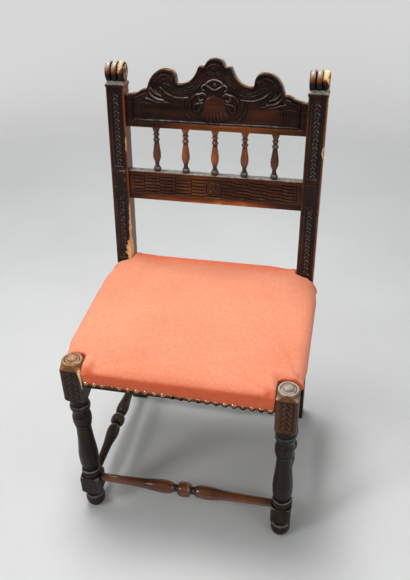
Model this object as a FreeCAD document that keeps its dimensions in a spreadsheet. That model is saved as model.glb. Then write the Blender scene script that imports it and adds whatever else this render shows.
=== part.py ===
import FreeCAD, Part
import os
import re

# Side chair of Renaissance revival pattern, with a stuffed seat. Millimetres, +Z up.
# The chair faces -Y and stands on Z = 0, and the origin is under the middle of its box.

Vector = FreeCAD.Vector
doc = FreeCAD.newDocument("side_chair")
sheet = doc.addObject("Spreadsheet::Sheet", "Sizes")

# Driving sizes: each is written once, here, and everything else follows from them.
SIZES = {
    # plan of the chair
    "leg_spread": 464.0,          # front leg axis to front leg axis
    "seat_run": 378.0,            # front leg axis back to the face of the rear posts
    "post_spread": 458.0,         # rear post centre to rear post centre
    # front legs
    "leg_square": 47.0,           # stock of a front leg, corner to corner of a face
    "foot_height": 52.0,          # bun foot under the lower block
    "low_block_height": 57.0,     # lower block, which takes the stretchers
    "turning_height": 249.0,      # turned length between the two blocks
    "high_block_height": 94.0,    # upper block, which takes the seat rails
    "button_height": 18.0,        # turned cap and button over the upper block
    "pommel_height": 9.0,         # turned shoulder where a block meets the turning
    "cap_height": 3.5,            # worn slope round the top of the upper block
    "cap_fall": 0.5,              # slight fall from the button's foot to that slope
    "leg_flats": 20,              # sides of the rings that stand for a leg's round work
    # rear posts
    "post_width": 42.0,
    "post_depth": 40.0,
    "knee_rise": 31.0,            # top of the legs' blocks up to where the post leans back
    "rake_angle": 6.37,           # lean of the back, in degrees
    "post_run": 436.0,            # knee to the collar, along the lean
    "collar_height": 5.5,         # one fillet of the two-step collar
    "collar_gap": 3.0,            # hollow between the two fillets
    "collar_out": 1.5,            # how far a fillet stands proud of the post
    "roll_radius": 24.0,          # scroll finial
    "roll_width": 44.0,           # the three lobes together
    "roll_lift": 31.0,            # collar foot to the axis of the rolls
    "roll_groove": 4.0,           # depth of the groove between two lobes
    "roll_flats": 20,             # sides of a roll's rings
    # back rails, measured along the lean from the knee
    "rail_setback": 8.0,          # face of the rails behind the face of the posts
    "rail_thick": 24.0,
    "low_rail_run": 168.5,
    "low_rail_height": 70.0,
    "spindle_length": 107.5,      # visible length between the two rails
    "crest_height": 160.0,
    # spindles
    "spindle_pitch": 69.9,
    "spindle_radius": 9.6,
    "spindle_tenon_radius": 4.5,
    "spindle_tenon": 10.0,
    "spindle_flats": 12,          # sides of a spindle's rings
    # stretchers
    "stretcher_radius": 16.5,
    "stretcher_tenon_radius": 5.5,
    "stretcher_tenon": 18.0,
    "stretcher_flats": 16,        # sides of a stretcher's rings
    "front_stretcher_height": 96.0,
    "side_stretcher_height": 84.0,
    # seat frame
    "seat_rail_drop": 41.0,       # top of the legs' blocks down to the foot of the seat rails
    "seat_rail_height": 38.0,
    "seat_rail_thick": 24.0,
    "front_rail_inset": 3.0,      # face of the front rail behind the face of the leg block
    "back_rail_inset": 2.0,
    "corner_block_reach": 40.0,
    "corner_block_height": 34.0,
    # joints
    "tenon_depth": 15.0,
    "tenon_thick": 10.0,
    "tenon_shoulder": 7.0,        # rail left above and below a tenon
    "glue_gap": 0.15,             # room for glue round a tenon
    "shoulder_fall": 0.3,         # round shoulders touch at the tenon and fall away to their rim
    "end_gap": 1.0,               # room beyond the end of a tenon
    # upholstery
    "web_width": 50.0,
    "web_thick": 1.6,
    "web_fold": 10.0,             # doubled end of a web on its rail
    "web_inset": 12.0,            # end of a web inside the rail's outer face
    "web_ramp": 12.5,             # run in which a web rises over another
    "hessian_thick": 1.0,
    "hessian_inset": 10.0,
    "cover_thick": 2.0,
    "cover_gap": 0.3,             # cover to legs and posts
    "cover_drop": 1.5,            # cover edge above the foot of the rail
    "band_height": 19.0,          # cover drawn flat on the rail by the nails
    "swell_rise": 9.5,            # band up to where the seat is widest
    "side_bulge": 10.0,           # widest line beyond the drawn band
    "front_bulge": 2.5,
    "edge_rise": 29.0,            # widest line up to the end of the front roll
    "crown_height": 19.0,
    "front_roll": 40.0,           # depth of the rolled edges
    "back_roll": 26.0,
    "side_roll": 45.0,
    # nails
    "nail_radius": 5.5,
    "nail_head": 3.2,
    "nail_flats": 6,              # sides of a nail's head
    "nail_pitch": 18.95,
    "nail_lift": 8.0,             # nail centre above the cover edge
    # carving grounds
    "panel_sunk": 1.5,
    "panel_margin": 6.0,
    "field_sunk": 3.0,
    "ground_margin": 12.0,        # plain end of the lower rail beside its sunk ground
    "rosette_radius": 15.0,
    # cutting tools run this far past what they cut
    "overrun": 5.0,
}

# Sizes that follow from the driving ones.
FORMULAS = {
    "leg_half": "leg_square / 2",
    "leg_x": "leg_spread / 2",
    "post_x": "post_spread / 2",
    "post_half": "post_width / 2",
    "post_inner": "post_x - post_half",
    "post_outer": "post_x + post_half",
    "leg_inner": "leg_x - leg_half",
    "leg_outer": "leg_x + leg_half",
    "low_block_top": "foot_height + low_block_height",
    "high_block_low": "low_block_top + turning_height",
    "high_block_top": "high_block_low + high_block_height",
    "leg_height": "high_block_top + button_height",
    "knee_height": "high_block_top + knee_rise",
    "seat_rail_low": "high_block_top - seat_rail_drop",
    "rake_sin": "sin(rake_angle)",
    "rake_cos": "cos(rake_angle)",
    "knee_drop": "post_depth * tan(rake_angle / 2)",
    "roll_run": "post_run + roll_lift",
    "spindle_run": "low_rail_run + low_rail_height",
    "crest_run": "spindle_run + spindle_length",
    "seat_top": "seat_rail_low + seat_rail_height",
    "front_reach": "leg_half - front_rail_inset + cover_thick + nail_head",
    "back_reach": "seat_run + roll_run * rake_sin + post_depth / 2 * rake_cos + roll_radius",
    "leg_y": "(front_reach - back_reach) / 2",
    "post_face_y": "leg_y + seat_run",
    "front_rail_y": "leg_y - leg_half + front_rail_inset",
    "leg_back_y": "leg_y + leg_half",
    "post_back_y": "post_face_y + post_depth",
    "back_rail_y": "post_back_y - back_rail_inset - seat_rail_thick",
    "tenon_height": "seat_rail_height - 2 * tenon_shoulder",
    "tenon_low": "seat_rail_low + tenon_shoulder",
    "tenon_inset": "(seat_rail_thick - tenon_thick) / 2",
    "back_tenon_inset": "(rail_thick - tenon_thick) / 2",
    "web_top": "seat_top + 2 * web_thick",
    "stuffing_low": "web_top + hessian_thick",
    "band_low": "seat_rail_low + cover_drop",
    "band_top": "band_low + band_height",
    "swell_height": "band_top + swell_rise",
    "seat_edge": "swell_height + edge_rise",
    "seat_front_y": "front_rail_y - cover_thick - front_bulge",
    "seat_back_y": "back_rail_y + seat_rail_thick + cover_thick + front_bulge",
    "seat_middle_y": "(front_rail_y + back_rail_y + seat_rail_thick) / 2",
    "seat_reach": "post_outer + cover_thick + side_bulge + overrun",
    "nail_z": "band_low + nail_lift",
}

UNITLESS = {"sin", "cos", "tan"}


def fill_sheet():
    """Write every size to the sheet: driving ones as numbers, the rest as formulas."""
    rows = list(SIZES.items()) + [(name, "=" + text) for name, text in FORMULAS.items()]
    for row, (name, content) in enumerate(rows, start=1):
        sheet.set("A%d" % row, name)
        sheet.set("B%d" % row, str(content))
        sheet.setAlias("B%d" % row, name)
    doc.recompute()


fill_sheet()


def size(name):
    """Value of one named size, in millimetres or degrees."""
    return float(sheet.get(name))


def bind(thing, prop, formula):
    """Bind a property to a formula in the sheet's names."""
    text = re.sub(r"[a-z][a-z_]+", lambda word: word.group() if word.group() in UNITLESS
                  else "Sizes." + word.group(), formula)
    thing.setExpression(prop, text)


def place(thing, x, y, z):
    """Put an object's own origin at a point given by three formulas."""
    for axis, formula in zip("xyz", (x, y, z)):
        bind(thing, "Placement.Base." + axis, formula)


def back_spot(x, depth, run):
    """Formulas of a point of the leaning back.

    depth is measured square to the back from the face of the posts, run along it from the knee.
    """
    return (x, "post_face_y + (%s) * rake_cos + (%s) * rake_sin" % (depth, run),
            "knee_height - (%s) * rake_sin + (%s) * rake_cos" % (depth, run))


def lean(thing, x, depth, run):
    """Put an object in the plane of the leaning back, with its own +Z along the lean."""
    thing.Placement = FreeCAD.Placement(Vector(), FreeCAD.Rotation(Vector(-1, 0, 0), size("rake_angle")))
    bind(thing, "Placement.Rotation.Angle", "rake_angle")
    place(thing, *back_spot(x, depth, run))


def box(name, length, width, height, spot=None, back=None):
    """A block with its low corner at spot, or at back in the plane of the leaning back."""
    made = doc.addObject("Part::Box", name)
    for prop, formula in (("Length", length), ("Width", width), ("Height", height)):
        bind(made, prop, formula)
    if spot:
        place(made, *spot)
    if back:
        lean(made, *back)
    return made


def rod(name, radius, length, axis, spot=None, back=None):
    """A round bar along +X, +Y or +Z from spot, or along the lean from back."""
    made = doc.addObject("Part::Cylinder", name)
    bind(made, "Radius", radius)
    bind(made, "Height", length)
    made.Placement = FreeCAD.Placement(Vector(), FreeCAD.Rotation(Vector(0, 0, 1), axis))
    if spot:
        place(made, *spot)
    if back:
        lean(made, *back)
    return made


def fused(name, pieces):
    made = doc.addObject("Part::MultiFuse", name)
    made.Shapes = pieces
    made.Refine = True
    return made


def together(name, pieces):
    """A group of separate solids that share one node."""
    made = doc.addObject("Part::Compound", name)
    made.Links = pieces
    return made


def cut(name, base, tools):
    made = doc.addObject("Part::Cut", name)
    made.Base = base
    made.Tool = tools[0] if len(tools) == 1 else fused(name + "_tools", tools)
    made.Refine = True
    return made


def body_plane(body, role):
    return next(item for item in body.Origin.OriginFeatures if item.Role == role)


def sketch_on(body, name, role, edges, offset=None):
    """A sketch of closed outlines on one of the body's own planes."""
    sketch = body.newObject("Sketcher::SketchObject", name)
    sketch.AttachmentSupport = [(body_plane(body, role), "")]
    sketch.MapMode = "FlatFace"
    if offset is not None:
        sketch.AttachmentOffset = FreeCAD.Placement(Vector(0, 0, offset), FreeCAD.Rotation())
    sketch.addGeometry(edges, False)
    return sketch


def closed(points):
    """Edges of a closed outline.

    A point is (x, y) for a straight run to it or (x, y, via_x, via_y) for an arc to it.
    """
    edges = []
    start = points[-1]
    for point in points:
        here, there = Vector(start[0], start[1], 0), Vector(point[0], point[1], 0)
        if len(point) == 4:
            edges.append(Part.Arc(here, Vector(point[2], point[3], 0), there))
        elif not here.isEqual(there, 1e-7):
            edges.append(Part.LineSegment(here, there))
        start = point
    return edges


def turning(name, stations, flats):
    """Round work along its own +Z: a loft through rings at (height formula, radius formula)."""
    rings = []
    for index, (height, radius) in enumerate(stations):
        ring = doc.addObject("Part::RegularPolygon", "%s_ring_%d" % (name, index + 1))
        ring.Polygon = int(size(flats))
        bind(ring, "Circumradius", radius)
        bind(ring, "Placement.Base.z", height)
        rings.append(ring)
    made = doc.addObject("Part::Loft", name)
    made.Sections = rings
    made.Solid = True
    made.Ruled = True
    made.Linearize = True
    return made


def along(shares, low, length, radius):
    """Stations of a turning from (height share, radius share) pairs, starting at low."""
    return [("%s + %g * (%s)" % (low, up, length), "%g * (%s)" % (out, radius)) for up, out in shares]


# Front legs: square stock, turned between its two blocks, at the foot and at the button.

foot_shares = [(0.0, 0.52), (0.10, 0.76), (0.26, 0.94), (0.48, 1.0), (0.70, 0.93), (0.88, 0.70), (1.0, 0.76)]
leg_turning_shares = [
    (0.0, 0.92), (0.02, 0.99), (0.045, 0.92), (0.06, 0.95), (0.085, 0.77), (0.115, 0.80), (0.15, 0.95),
    (0.20, 0.99), (0.25, 0.995), (0.34, 0.93), (0.44, 0.84), (0.54, 0.77), (0.615, 0.74), (0.655, 0.745),
    (0.67, 0.84), (0.695, 0.84), (0.71, 0.93), (0.77, 0.94), (0.80, 0.86), (0.825, 0.83), (0.855, 0.86),
    (0.885, 0.98), (0.915, 0.98), (0.95, 0.84), (1.0, 0.90)]
button_shares = [(0.0, 0.90), (0.12, 0.95), (0.36, 0.93), (0.44, 0.64), (0.60, 0.62), (0.80, 0.50),
                 (0.93, 0.32), (1.0, 0.12)]
block_share = 1.45
cap_share = 1.25


def front_leg(side, sign):
    spot = ("%d * leg_x" % sign, "leg_y", "0")
    stock = box("leg_stock_" + side, "leg_square", "leg_square", "leg_height",
                (spot[0] + " - leg_half", "leg_y - leg_half", "0"))
    outer = "%g * leg_half" % block_share
    stations = along(foot_shares, "0", "foot_height", "leg_half")
    stations += [("foot_height + pommel_height", outer), ("low_block_top - pommel_height", outer)]
    stations += along(leg_turning_shares, "low_block_top", "turning_height", "leg_half")
    stations += [("high_block_low + pommel_height", outer), ("high_block_top - cap_height", outer),
                 ("high_block_top - cap_fall", "%g * leg_half" % cap_share)]
    stations += along(button_shares, "high_block_top", "button_height", "leg_half")
    lathe_work = turning("leg_turning_" + side, stations, "leg_flats")
    place(lathe_work, *spot)
    blank = doc.addObject("Part::Common", "leg_blank_" + side)
    blank.Base = stock
    blank.Tool = lathe_work
    panel = box("leg_panel_" + side, "leg_square - 2 * panel_margin", "panel_sunk + overrun",
                "high_block_height - pommel_height - 2 * panel_margin",
                (spot[0] + " - leg_half + panel_margin", "leg_y - leg_half - overrun",
                 "high_block_low + pommel_height + panel_margin"))
    inner = "leg_inner - overrun" if sign > 0 else "-leg_inner - tenon_depth - end_gap"
    tools = [
        panel,
        box("front_mortise_" + side, "tenon_depth + end_gap + overrun", "tenon_thick + 2 * glue_gap",
            "tenon_height + 2 * glue_gap",
            (inner, "front_rail_y + tenon_inset - glue_gap", "tenon_low - glue_gap")),
        box("side_mortise_" + side, "tenon_thick + 2 * glue_gap", "tenon_depth + end_gap + overrun",
            "tenon_height + 2 * glue_gap",
            ("%d * (post_outer - seat_rail_thick / 2) - tenon_thick / 2 - glue_gap" % sign,
             "leg_back_y - tenon_depth - end_gap", "tenon_low - glue_gap")),
        rod("front_socket_" + side, "stretcher_tenon_radius + glue_gap",
            "stretcher_tenon + end_gap + overrun", Vector(1, 0, 0),
            ("leg_inner - overrun" if sign > 0 else "-leg_inner - stretcher_tenon - end_gap",
             "leg_y", "front_stretcher_height")),
        rod("side_socket_" + side, "stretcher_tenon_radius + glue_gap",
            "stretcher_tenon + end_gap + overrun", Vector(0, 1, 0),
            ("%d * leg_x" % sign, "leg_back_y - stretcher_tenon - end_gap", "side_stretcher_height")),
    ]
    return cut("front_leg_" + side, blank, tools)


# Rear posts: upright below the seat and leaning above it, with a collar and a three-lobed scroll.

def post_body(side, sign):
    body = doc.addObject("PartDesign::Body", "post_" + side)
    lean_y = size("post_run") * size("rake_sin")
    lean_z = size("post_run") * size("rake_cos")
    depth, knee = size("post_depth"), size("knee_height")
    back_y, back_z = depth * size("rake_cos"), depth * size("rake_sin")
    outline = closed([
        (0, 0), (depth, 0), (depth, knee - size("knee_drop")),
        (lean_y + back_y, knee + lean_z - back_z), (lean_y, knee + lean_z), (0, knee)])
    pad = body.newObject("PartDesign::Pad", "post_blank_" + side)
    pad.Profile = sketch_on(body, "post_outline_" + side, "YZ_Plane", outline)
    pad.Midplane = True
    bind(pad, "Length", "post_width")
    place(body, "%d * post_x" % sign, "post_face_y", "0")
    return body


lobe_shares = [(0.0, 0.0), (0.14, 0.55), (0.32, 0.92), (0.5, 1.0), (0.68, 0.92), (0.86, 0.55)]
lobe_count = 3


def scroll_roll(side, sign):
    """Lobes side by side, turned round an axis along X."""
    stations = []
    for lobe in range(lobe_count):
        for share, out in lobe_shares:
            stations.append(("roll_width * %g" % ((lobe + share) / lobe_count),
                             "roll_radius - roll_groove * %g" % (1 - out)))
    stations.append(("roll_width", "roll_radius - roll_groove"))
    roll = turning("roll_" + side, stations, "roll_flats")
    roll.Placement = FreeCAD.Placement(Vector(), FreeCAD.Rotation(Vector(0, 0, 1), Vector(1, 0, 0)))
    place(roll, *back_spot("%d * post_x - roll_width / 2" % sign, "post_depth / 2", "roll_run"))
    return roll


def rear_post(side, sign):
    wide, deep = "post_width + 2 * collar_out", "post_depth + 2 * collar_out"
    left = "%d * post_x - post_half" % sign
    pieces = [
        post_body(side, sign),
        box("collar_low_" + side, wide, deep, "collar_height", None,
            (left + " - collar_out", "-collar_out", "post_run")),
        box("collar_neck_" + side, "post_width", "post_depth", "collar_gap", None,
            (left, "0", "post_run + collar_height")),
        box("collar_high_" + side, wide, deep, "collar_height", None,
            (left + " - collar_out", "-collar_out", "post_run + collar_height + collar_gap")),
        box("roll_neck_" + side, "post_width", "post_depth - 2 * roll_groove", "roll_lift / 2", None,
            (left, "roll_groove", "post_run + roll_lift / 2")),
        scroll_roll(side, sign),
    ]
    panel = "post_width - 2 * panel_margin"
    panel_left = left + " + panel_margin"
    mortise = "tenon_depth + end_gap + overrun"
    inward = "post_inner - overrun" if sign > 0 else "-post_inner - tenon_depth - end_gap"
    socket = "post_inner - overrun" if sign > 0 else "-post_inner - stretcher_tenon - end_gap"
    tools = [
        box("panel_low_" + side, panel, "panel_sunk + overrun",
            "low_rail_run - 2 * panel_margin", None, (panel_left, "-overrun", "panel_margin")),
        box("panel_high_" + side, panel, "panel_sunk + overrun",
            "post_run - spindle_run - 2 * panel_margin", None,
            (panel_left, "-overrun", "spindle_run + panel_margin")),
        box("low_rail_mortise_" + side, mortise, "tenon_thick + 2 * glue_gap",
            "low_rail_height - 2 * tenon_shoulder + 2 * glue_gap", None,
            (inward, "rail_setback + back_tenon_inset - glue_gap",
             "low_rail_run + tenon_shoulder - glue_gap")),
        box("crest_mortise_" + side, mortise, "tenon_thick + 2 * glue_gap",
            "low_rail_height - 2 * tenon_shoulder + 2 * glue_gap", None,
            (inward, "rail_setback + back_tenon_inset - glue_gap",
             "crest_run + tenon_shoulder - glue_gap")),
        box("back_rail_mortise_" + side, mortise, "tenon_thick + 2 * glue_gap",
            "tenon_height + 2 * glue_gap",
            (inward, "back_rail_y + tenon_inset - glue_gap", "tenon_low - glue_gap")),
        box("side_rail_mortise_" + side, "tenon_thick + 2 * glue_gap", mortise,
            "tenon_height + 2 * glue_gap",
            ("%d * (post_outer - seat_rail_thick / 2) - tenon_thick / 2 - glue_gap" % sign,
             "post_face_y - overrun", "tenon_low - glue_gap")),
        rod("post_side_socket_" + side, "stretcher_tenon_radius + glue_gap",
            "stretcher_tenon + end_gap + overrun", Vector(0, 1, 0),
            ("%d * leg_x" % sign, "post_face_y - overrun", "side_stretcher_height")),
        rod("post_back_socket_" + side, "stretcher_tenon_radius + glue_gap",
            "stretcher_tenon + end_gap + overrun", Vector(1, 0, 0),
            (socket, "post_face_y + post_depth / 2", "front_stretcher_height")),
    ]
    return cut("rear_post_" + side, fused("post_blank_with_scroll_" + side, pieces), tools)


# Crest rail: scrolled outline as shares of its half length and of its height.
# Each entry is (x, height) or (x, height, via x, via height) of the right half, from the end in.

crest_outline_shares = [
    (1.0, 0.0), (1.0, 0.435), (0.90, 0.478, 0.955, 0.463), (0.815, 0.53, 0.85, 0.492),
    (0.76, 0.545, 0.785, 0.548), (0.75, 0.55), (0.54, 0.832, 0.69, 0.735),
    (0.425, 0.665, 0.447, 0.775), (0.38, 0.634, 0.41, 0.641), (0.178, 0.86, 0.255, 0.70),
    (0.163, 0.89, 0.175, 0.88), (0.112, 0.893, 0.135, 0.90), (0.0, 1.0, 0.072, 0.968)]
crest_field_shares = [
    (0.93, 0.10), (0.93, 0.36), (0.74, 0.42, 0.84, 0.40), (0.36, 0.50, 0.55, 0.42),
    (0.27, 0.30, 0.28, 0.42), (0.24, 0.10, 0.24, 0.20)]


def scaled(shares, wide, high, sign=1):
    """Outline points from shares: every x share times wide, every height share times high."""
    points = []
    for share in shares:
        point = [sign * share[0] * wide, share[1] * high]
        if len(share) == 4:
            point += [sign * share[2] * wide, share[3] * high]
        points.append(tuple(point))
    return points


def mirrored(points):
    """The left half of an outline, walked back from the middle to the left end."""
    half = []
    for index in range(len(points) - 1, 0, -1):
        x, z = points[index - 1][0], points[index - 1][1]
        if len(points[index]) == 4:
            half.append((-x, z, -points[index][2], points[index][3]))
        else:
            half.append((-x, z))
    return half


def crest_rail():
    body = doc.addObject("PartDesign::Body", "crest_board")
    wide, high = size("post_inner"), size("crest_height")
    right = scaled(crest_outline_shares, wide, high)
    pad = body.newObject("PartDesign::Pad", "crest_blank")
    pad.Profile = sketch_on(body, "crest_outline", "XZ_Plane", closed(right + mirrored(right)))
    pad.Reversed = True
    bind(pad, "Length", "rail_thick")
    fields = closed(scaled(crest_field_shares, wide, high))
    fields += closed(scaled(crest_field_shares, wide, high, -1))
    sunk = body.newObject("PartDesign::Pocket", "crest_fields")
    sunk.Profile = sketch_on(body, "crest_field_outline", "XZ_Plane", fields)
    bind(sunk, "Length", "field_sunk")
    lean(body, "0", "rail_setback", "crest_run")
    tenons = back_tenons("crest", "crest_run", "low_rail_height")
    blank = fused("crest_with_tenons", [body] + tenons)
    return cut("crest_rail", blank, spindle_sockets("crest", "crest_run - overrun"))


spindle_count = 5


def back_tenons(name, run, height):
    """Tenons at both ends of a back rail."""
    tenons = []
    for side, start in (("left", "-post_inner - tenon_depth"), ("right", "post_inner")):
        tenons.append(box("%s_tenon_%s" % (name, side), "tenon_depth", "tenon_thick",
                          height + " - 2 * tenon_shoulder", None,
                          (start, "rail_setback + back_tenon_inset", run + " + tenon_shoulder")))
    return tenons


def spindle_x(index):
    """Formula of a spindle's place across the back."""
    return "%g * spindle_pitch" % (index - (spindle_count - 1) / 2)


def spindle_sockets(name, run):
    """Round sockets for the spindles, from a start along the lean."""
    sockets = []
    for index in range(spindle_count):
        sockets.append(rod("%s_socket_%d" % (name, index + 1), "spindle_tenon_radius + glue_gap",
                           "spindle_tenon + end_gap + overrun", Vector(0, 0, 1), None,
                           (spindle_x(index), "rail_setback + rail_thick / 2", run)))
    return sockets


def lower_back_rail():
    board = box("low_rail_board", "2 * post_inner", "rail_thick", "low_rail_height", None,
                ("-post_inner", "rail_setback", "low_rail_run"))
    blank = fused("low_rail_with_tenons",
                  [board] + back_tenons("low_rail", "low_rail_run", "low_rail_height"))
    ground = box("low_rail_ground", "2 * post_inner - 2 * ground_margin", "panel_sunk + overrun",
                 "low_rail_height - 2 * panel_margin", None,
                 ("ground_margin - post_inner", "rail_setback - overrun",
                  "low_rail_run + panel_margin"))
    boss = rod("rosette_boss", "rosette_radius", "rail_thick / 2", Vector(0, 0, 1))
    lean(boss, "0", "rail_setback + rail_thick / 2", "low_rail_run + low_rail_height / 2")
    turned = FreeCAD.Rotation(Vector(1, 0, 0), 90)
    boss.Placement = boss.Placement.multiply(FreeCAD.Placement(Vector(), turned))
    bind(boss, "Placement.Rotation.Angle", "90 - rake_angle")
    ground_round_boss = cut("low_rail_ground_round_boss", ground, [boss])
    sockets = spindle_sockets("low_rail", "spindle_run - spindle_tenon - end_gap")
    return cut("lower_back_rail", blank, [ground_round_boss] + sockets)


# Spindles and stretchers are turned between round tenons.

spindle_shares = [
    (0.0, 0.74), (0.05, 0.90), (0.11, 0.80), (0.16, 0.55), (0.20, 0.52), (0.26, 0.80), (0.32, 0.98),
    (0.38, 1.0), (0.50, 0.84), (0.60, 0.68), (0.68, 0.58), (0.695, 0.76), (0.735, 0.76), (0.75, 0.58),
    (0.80, 0.60), (0.825, 0.76), (0.845, 0.58), (0.89, 0.68), (0.94, 0.88), (1.0, 0.90)]
stretcher_half_shares = [
    (0.0, 0.58), (0.11, 0.60), (0.27, 0.72), (0.35, 0.94), (0.39, 0.97), (0.42, 0.88), (0.444, 0.58),
    (0.462, 0.58), (0.468, 0.90), (0.484, 1.09)]


def tenoned(shares, length, radius, tenon, tenon_radius):
    """Stations of a turning with a round tenon at each end and shoulders that fall away a little."""
    inner = along(shares, "shoulder_fall", length + " - 2 * shoulder_fall", radius)
    return ([("-(%s)" % tenon, tenon_radius), ("0", tenon_radius)] + inner
            + [(length, tenon_radius), ("%s + %s" % (length, tenon), tenon_radius)])


def spindle(index):
    stations = tenoned(spindle_shares, "spindle_length", "spindle_radius", "spindle_tenon",
                       "spindle_tenon_radius")
    made = turning("spindle_%d" % (index + 1), stations, "spindle_flats")
    lean(made, spindle_x(index), "rail_setback + rail_thick / 2", "spindle_run")
    return made


def stretcher(side, length, axis, spot):
    """Vase, ball and vase: the half pattern is walked up and then back down."""
    shares = stretcher_half_shares + [(1 - share, out) for share, out in reversed(stretcher_half_shares)]
    stations = tenoned(shares, "(%s)" % length, "stretcher_radius", "stretcher_tenon",
                       "stretcher_tenon_radius")
    made = turning("stretcher_" + side, stations, "stretcher_flats")
    made.Placement = FreeCAD.Placement(Vector(), FreeCAD.Rotation(Vector(0, 0, 1), axis))
    place(made, *spot)
    return made


# Seat frame: four tenoned rails and a notched block glued into each corner.

def cross_rail(name, inner, low_y, node):
    """Front or back seat rail with a tenon at each end."""
    board = box(name + "_board", "2 * " + inner, "seat_rail_thick", "seat_rail_height",
                ("-" + inner, low_y, "seat_rail_low"))
    tenons = box(name + "_tenons", "2 * %s + 2 * tenon_depth" % inner, "tenon_thick", "tenon_height",
                 ("-%s - tenon_depth" % inner, low_y + " + tenon_inset", "tenon_low"))
    return fused(node, [board, tenons])


def side_rail(side, sign):
    low_x = "post_outer - seat_rail_thick" if sign > 0 else "-post_outer"
    board = box("side_board_" + side, "seat_rail_thick", "post_face_y - leg_back_y", "seat_rail_height",
                (low_x, "leg_back_y", "seat_rail_low"))
    tenons = box("side_tenons_" + side, "tenon_thick", "post_face_y - leg_back_y + 2 * tenon_depth",
                 "tenon_height", (low_x + " + tenon_inset", "leg_back_y - tenon_depth", "tenon_low"))
    return fused("seat_rail_" + side, [board, tenons])


def corner_block(name, corner_x, corner_y, post_x, post_y, into_x, into_y):
    """A five-sided block that fills a corner of the frame round the leg or post.

    corner is where the two rails' inner faces would meet, post the inner corner of the leg.
    """
    reach = size("corner_block_reach")
    body = doc.addObject("PartDesign::Body", name)
    points = [(post_x, corner_y), (post_x + into_x * reach, corner_y),
              (corner_x, post_y + into_y * reach), (corner_x, post_y), (post_x, post_y)]
    pad = body.newObject("PartDesign::Pad", name + "_pad")
    pad.Profile = sketch_on(body, name + "_outline", "XY_Plane", closed(points))
    bind(pad, "Length", "corner_block_height")
    place(body, "0", "0", "seat_top - corner_block_height - web_thick")
    return body


def corner_blocks():
    blocks = []
    rail_x = size("post_outer") - size("seat_rail_thick")
    front_y = size("front_rail_y") + size("seat_rail_thick")
    for side, sign in (("left", -1), ("right", 1)):
        blocks.append(corner_block("corner_block_front_" + side, sign * rail_x, front_y,
                                   sign * size("leg_inner"), size("leg_back_y"), -sign, 1))
        blocks.append(corner_block("corner_block_back_" + side, sign * rail_x, size("back_rail_y"),
                                   sign * size("post_inner"), size("post_face_y"), -sign, -1))
    return blocks


# Upholstery: interlaced webs, hessian, stuffing and the cover.

web_place_shares = [-0.27, 0.0, 0.27]


def web_levels(first_high):
    return [1 if (index % 2 == 0) == first_high else 0 for index in range(len(web_place_shares))]


def web_outline(reach, crossings, levels):
    """Side view of one web: it rests on the rails, doubled at its ends, and rides over or under.

    reach is half the web's length; crossings are the places where it meets the other webs.
    """
    thick, fold, half = size("web_thick"), size("web_fold"), size("web_width") / 2
    ramp = size("web_ramp")
    low = [(-reach, 0)]
    for spot, level in zip(crossings, levels):
        if level:
            low += [(spot - half - ramp, 0), (spot - half, thick), (spot + half, thick),
                    (spot + half + ramp, 0)]
    low.append((reach, 0))
    high = [(reach, 2 * thick), (reach - fold, 2 * thick), (reach - fold, thick)]
    for spot, level in reversed(list(zip(crossings, levels))):
        if level:
            high += [(spot + half + ramp, thick), (spot + half, 2 * thick), (spot - half, 2 * thick),
                     (spot - half - ramp, thick)]
    high += [(fold - reach, thick), (fold - reach, 2 * thick), (-reach, 2 * thick)]
    return closed(low + high)


def web(name, plane, reach, crossings, levels, spot):
    body = doc.addObject("PartDesign::Body", name)
    pad = body.newObject("PartDesign::Pad", name + "_pad")
    pad.Profile = sketch_on(body, name + "_outline", plane, web_outline(reach, crossings, levels))
    pad.Midplane = True
    bind(pad, "Length", "web_width")
    place(body, *spot)
    return body


def webbing():
    """Three webs each way: each one passes over one neighbour and under the next."""
    reach_y = size("seat_middle_y") - size("front_rail_y") - size("web_inset")
    reach_x = size("post_outer") - size("web_inset")
    width, depth = 2 * size("post_inner"), size("post_face_y") - size("leg_back_y")
    spots_x = [share * width for share in web_place_shares]
    spots_y = [share * depth for share in web_place_shares]
    lengthwise, crosswise = [], []
    for index, share in enumerate(web_place_shares):
        levels = web_levels(index % 2 == 0)
        lengthwise.append(web("web_long_%d" % (index + 1), "YZ_Plane", reach_y, spots_y, levels,
                              ("%g * 2 * post_inner" % share, "seat_middle_y", "seat_top")))
        levels = web_levels(index % 2 == 1)
        spot_y = "seat_middle_y + %g * (post_face_y - leg_back_y)" % share
        crosswise.append(web("web_cross_%d" % (index + 1), "XZ_Plane", reach_x, spots_x, levels,
                             ("0", spot_y, "seat_top")))
    return together("webbing_lengthwise", lengthwise), together("webbing_crosswise", crosswise)


def frame_notches(name, grow):
    """Boxes that clear the legs and posts out of the four corners of the seat."""
    far = "side_bulge + cover_thick + overrun"
    low = "seat_rail_low - overrun"
    tall = "seat_edge + crown_height - seat_rail_low + 2 * overrun"
    notches = []
    for side, sign in (("left", -1), ("right", 1)):
        front_x = "leg_inner - (%s)" % grow if sign > 0 else "-leg_outer - (%s)" % far
        back_x = "post_inner - (%s)" % grow if sign > 0 else "-post_outer - (%s)" % far
        notches.append(box("%s_front_notch_%s" % (name, side), "leg_square + %s + %s" % (far, grow),
                           "leg_square + overrun + " + grow, tall,
                           (front_x, "leg_y - leg_half - overrun", low)))
        notches.append(box("%s_back_notch_%s" % (name, side), "post_width + %s + %s" % (far, grow),
                           "post_depth + overrun + " + grow, tall,
                           (back_x, "post_face_y - (%s)" % grow, low)))
    return notches


# Rolled edge of the seat: (share of the roll's depth, share of its rise), front to top.
roll_shares = [(0.0, 0.30), (0.11, 0.54), (0.42, 0.85)]
# Top between the rolls: (share of the depth, share of the crown in the middle, and at the sides).
crown_shares = [(0.0, 0.15, 0.0), (0.25, 0.80, 0.45), (0.62, 1.0, 0.78), (1.0, 0.78, 0.72)]
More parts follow.
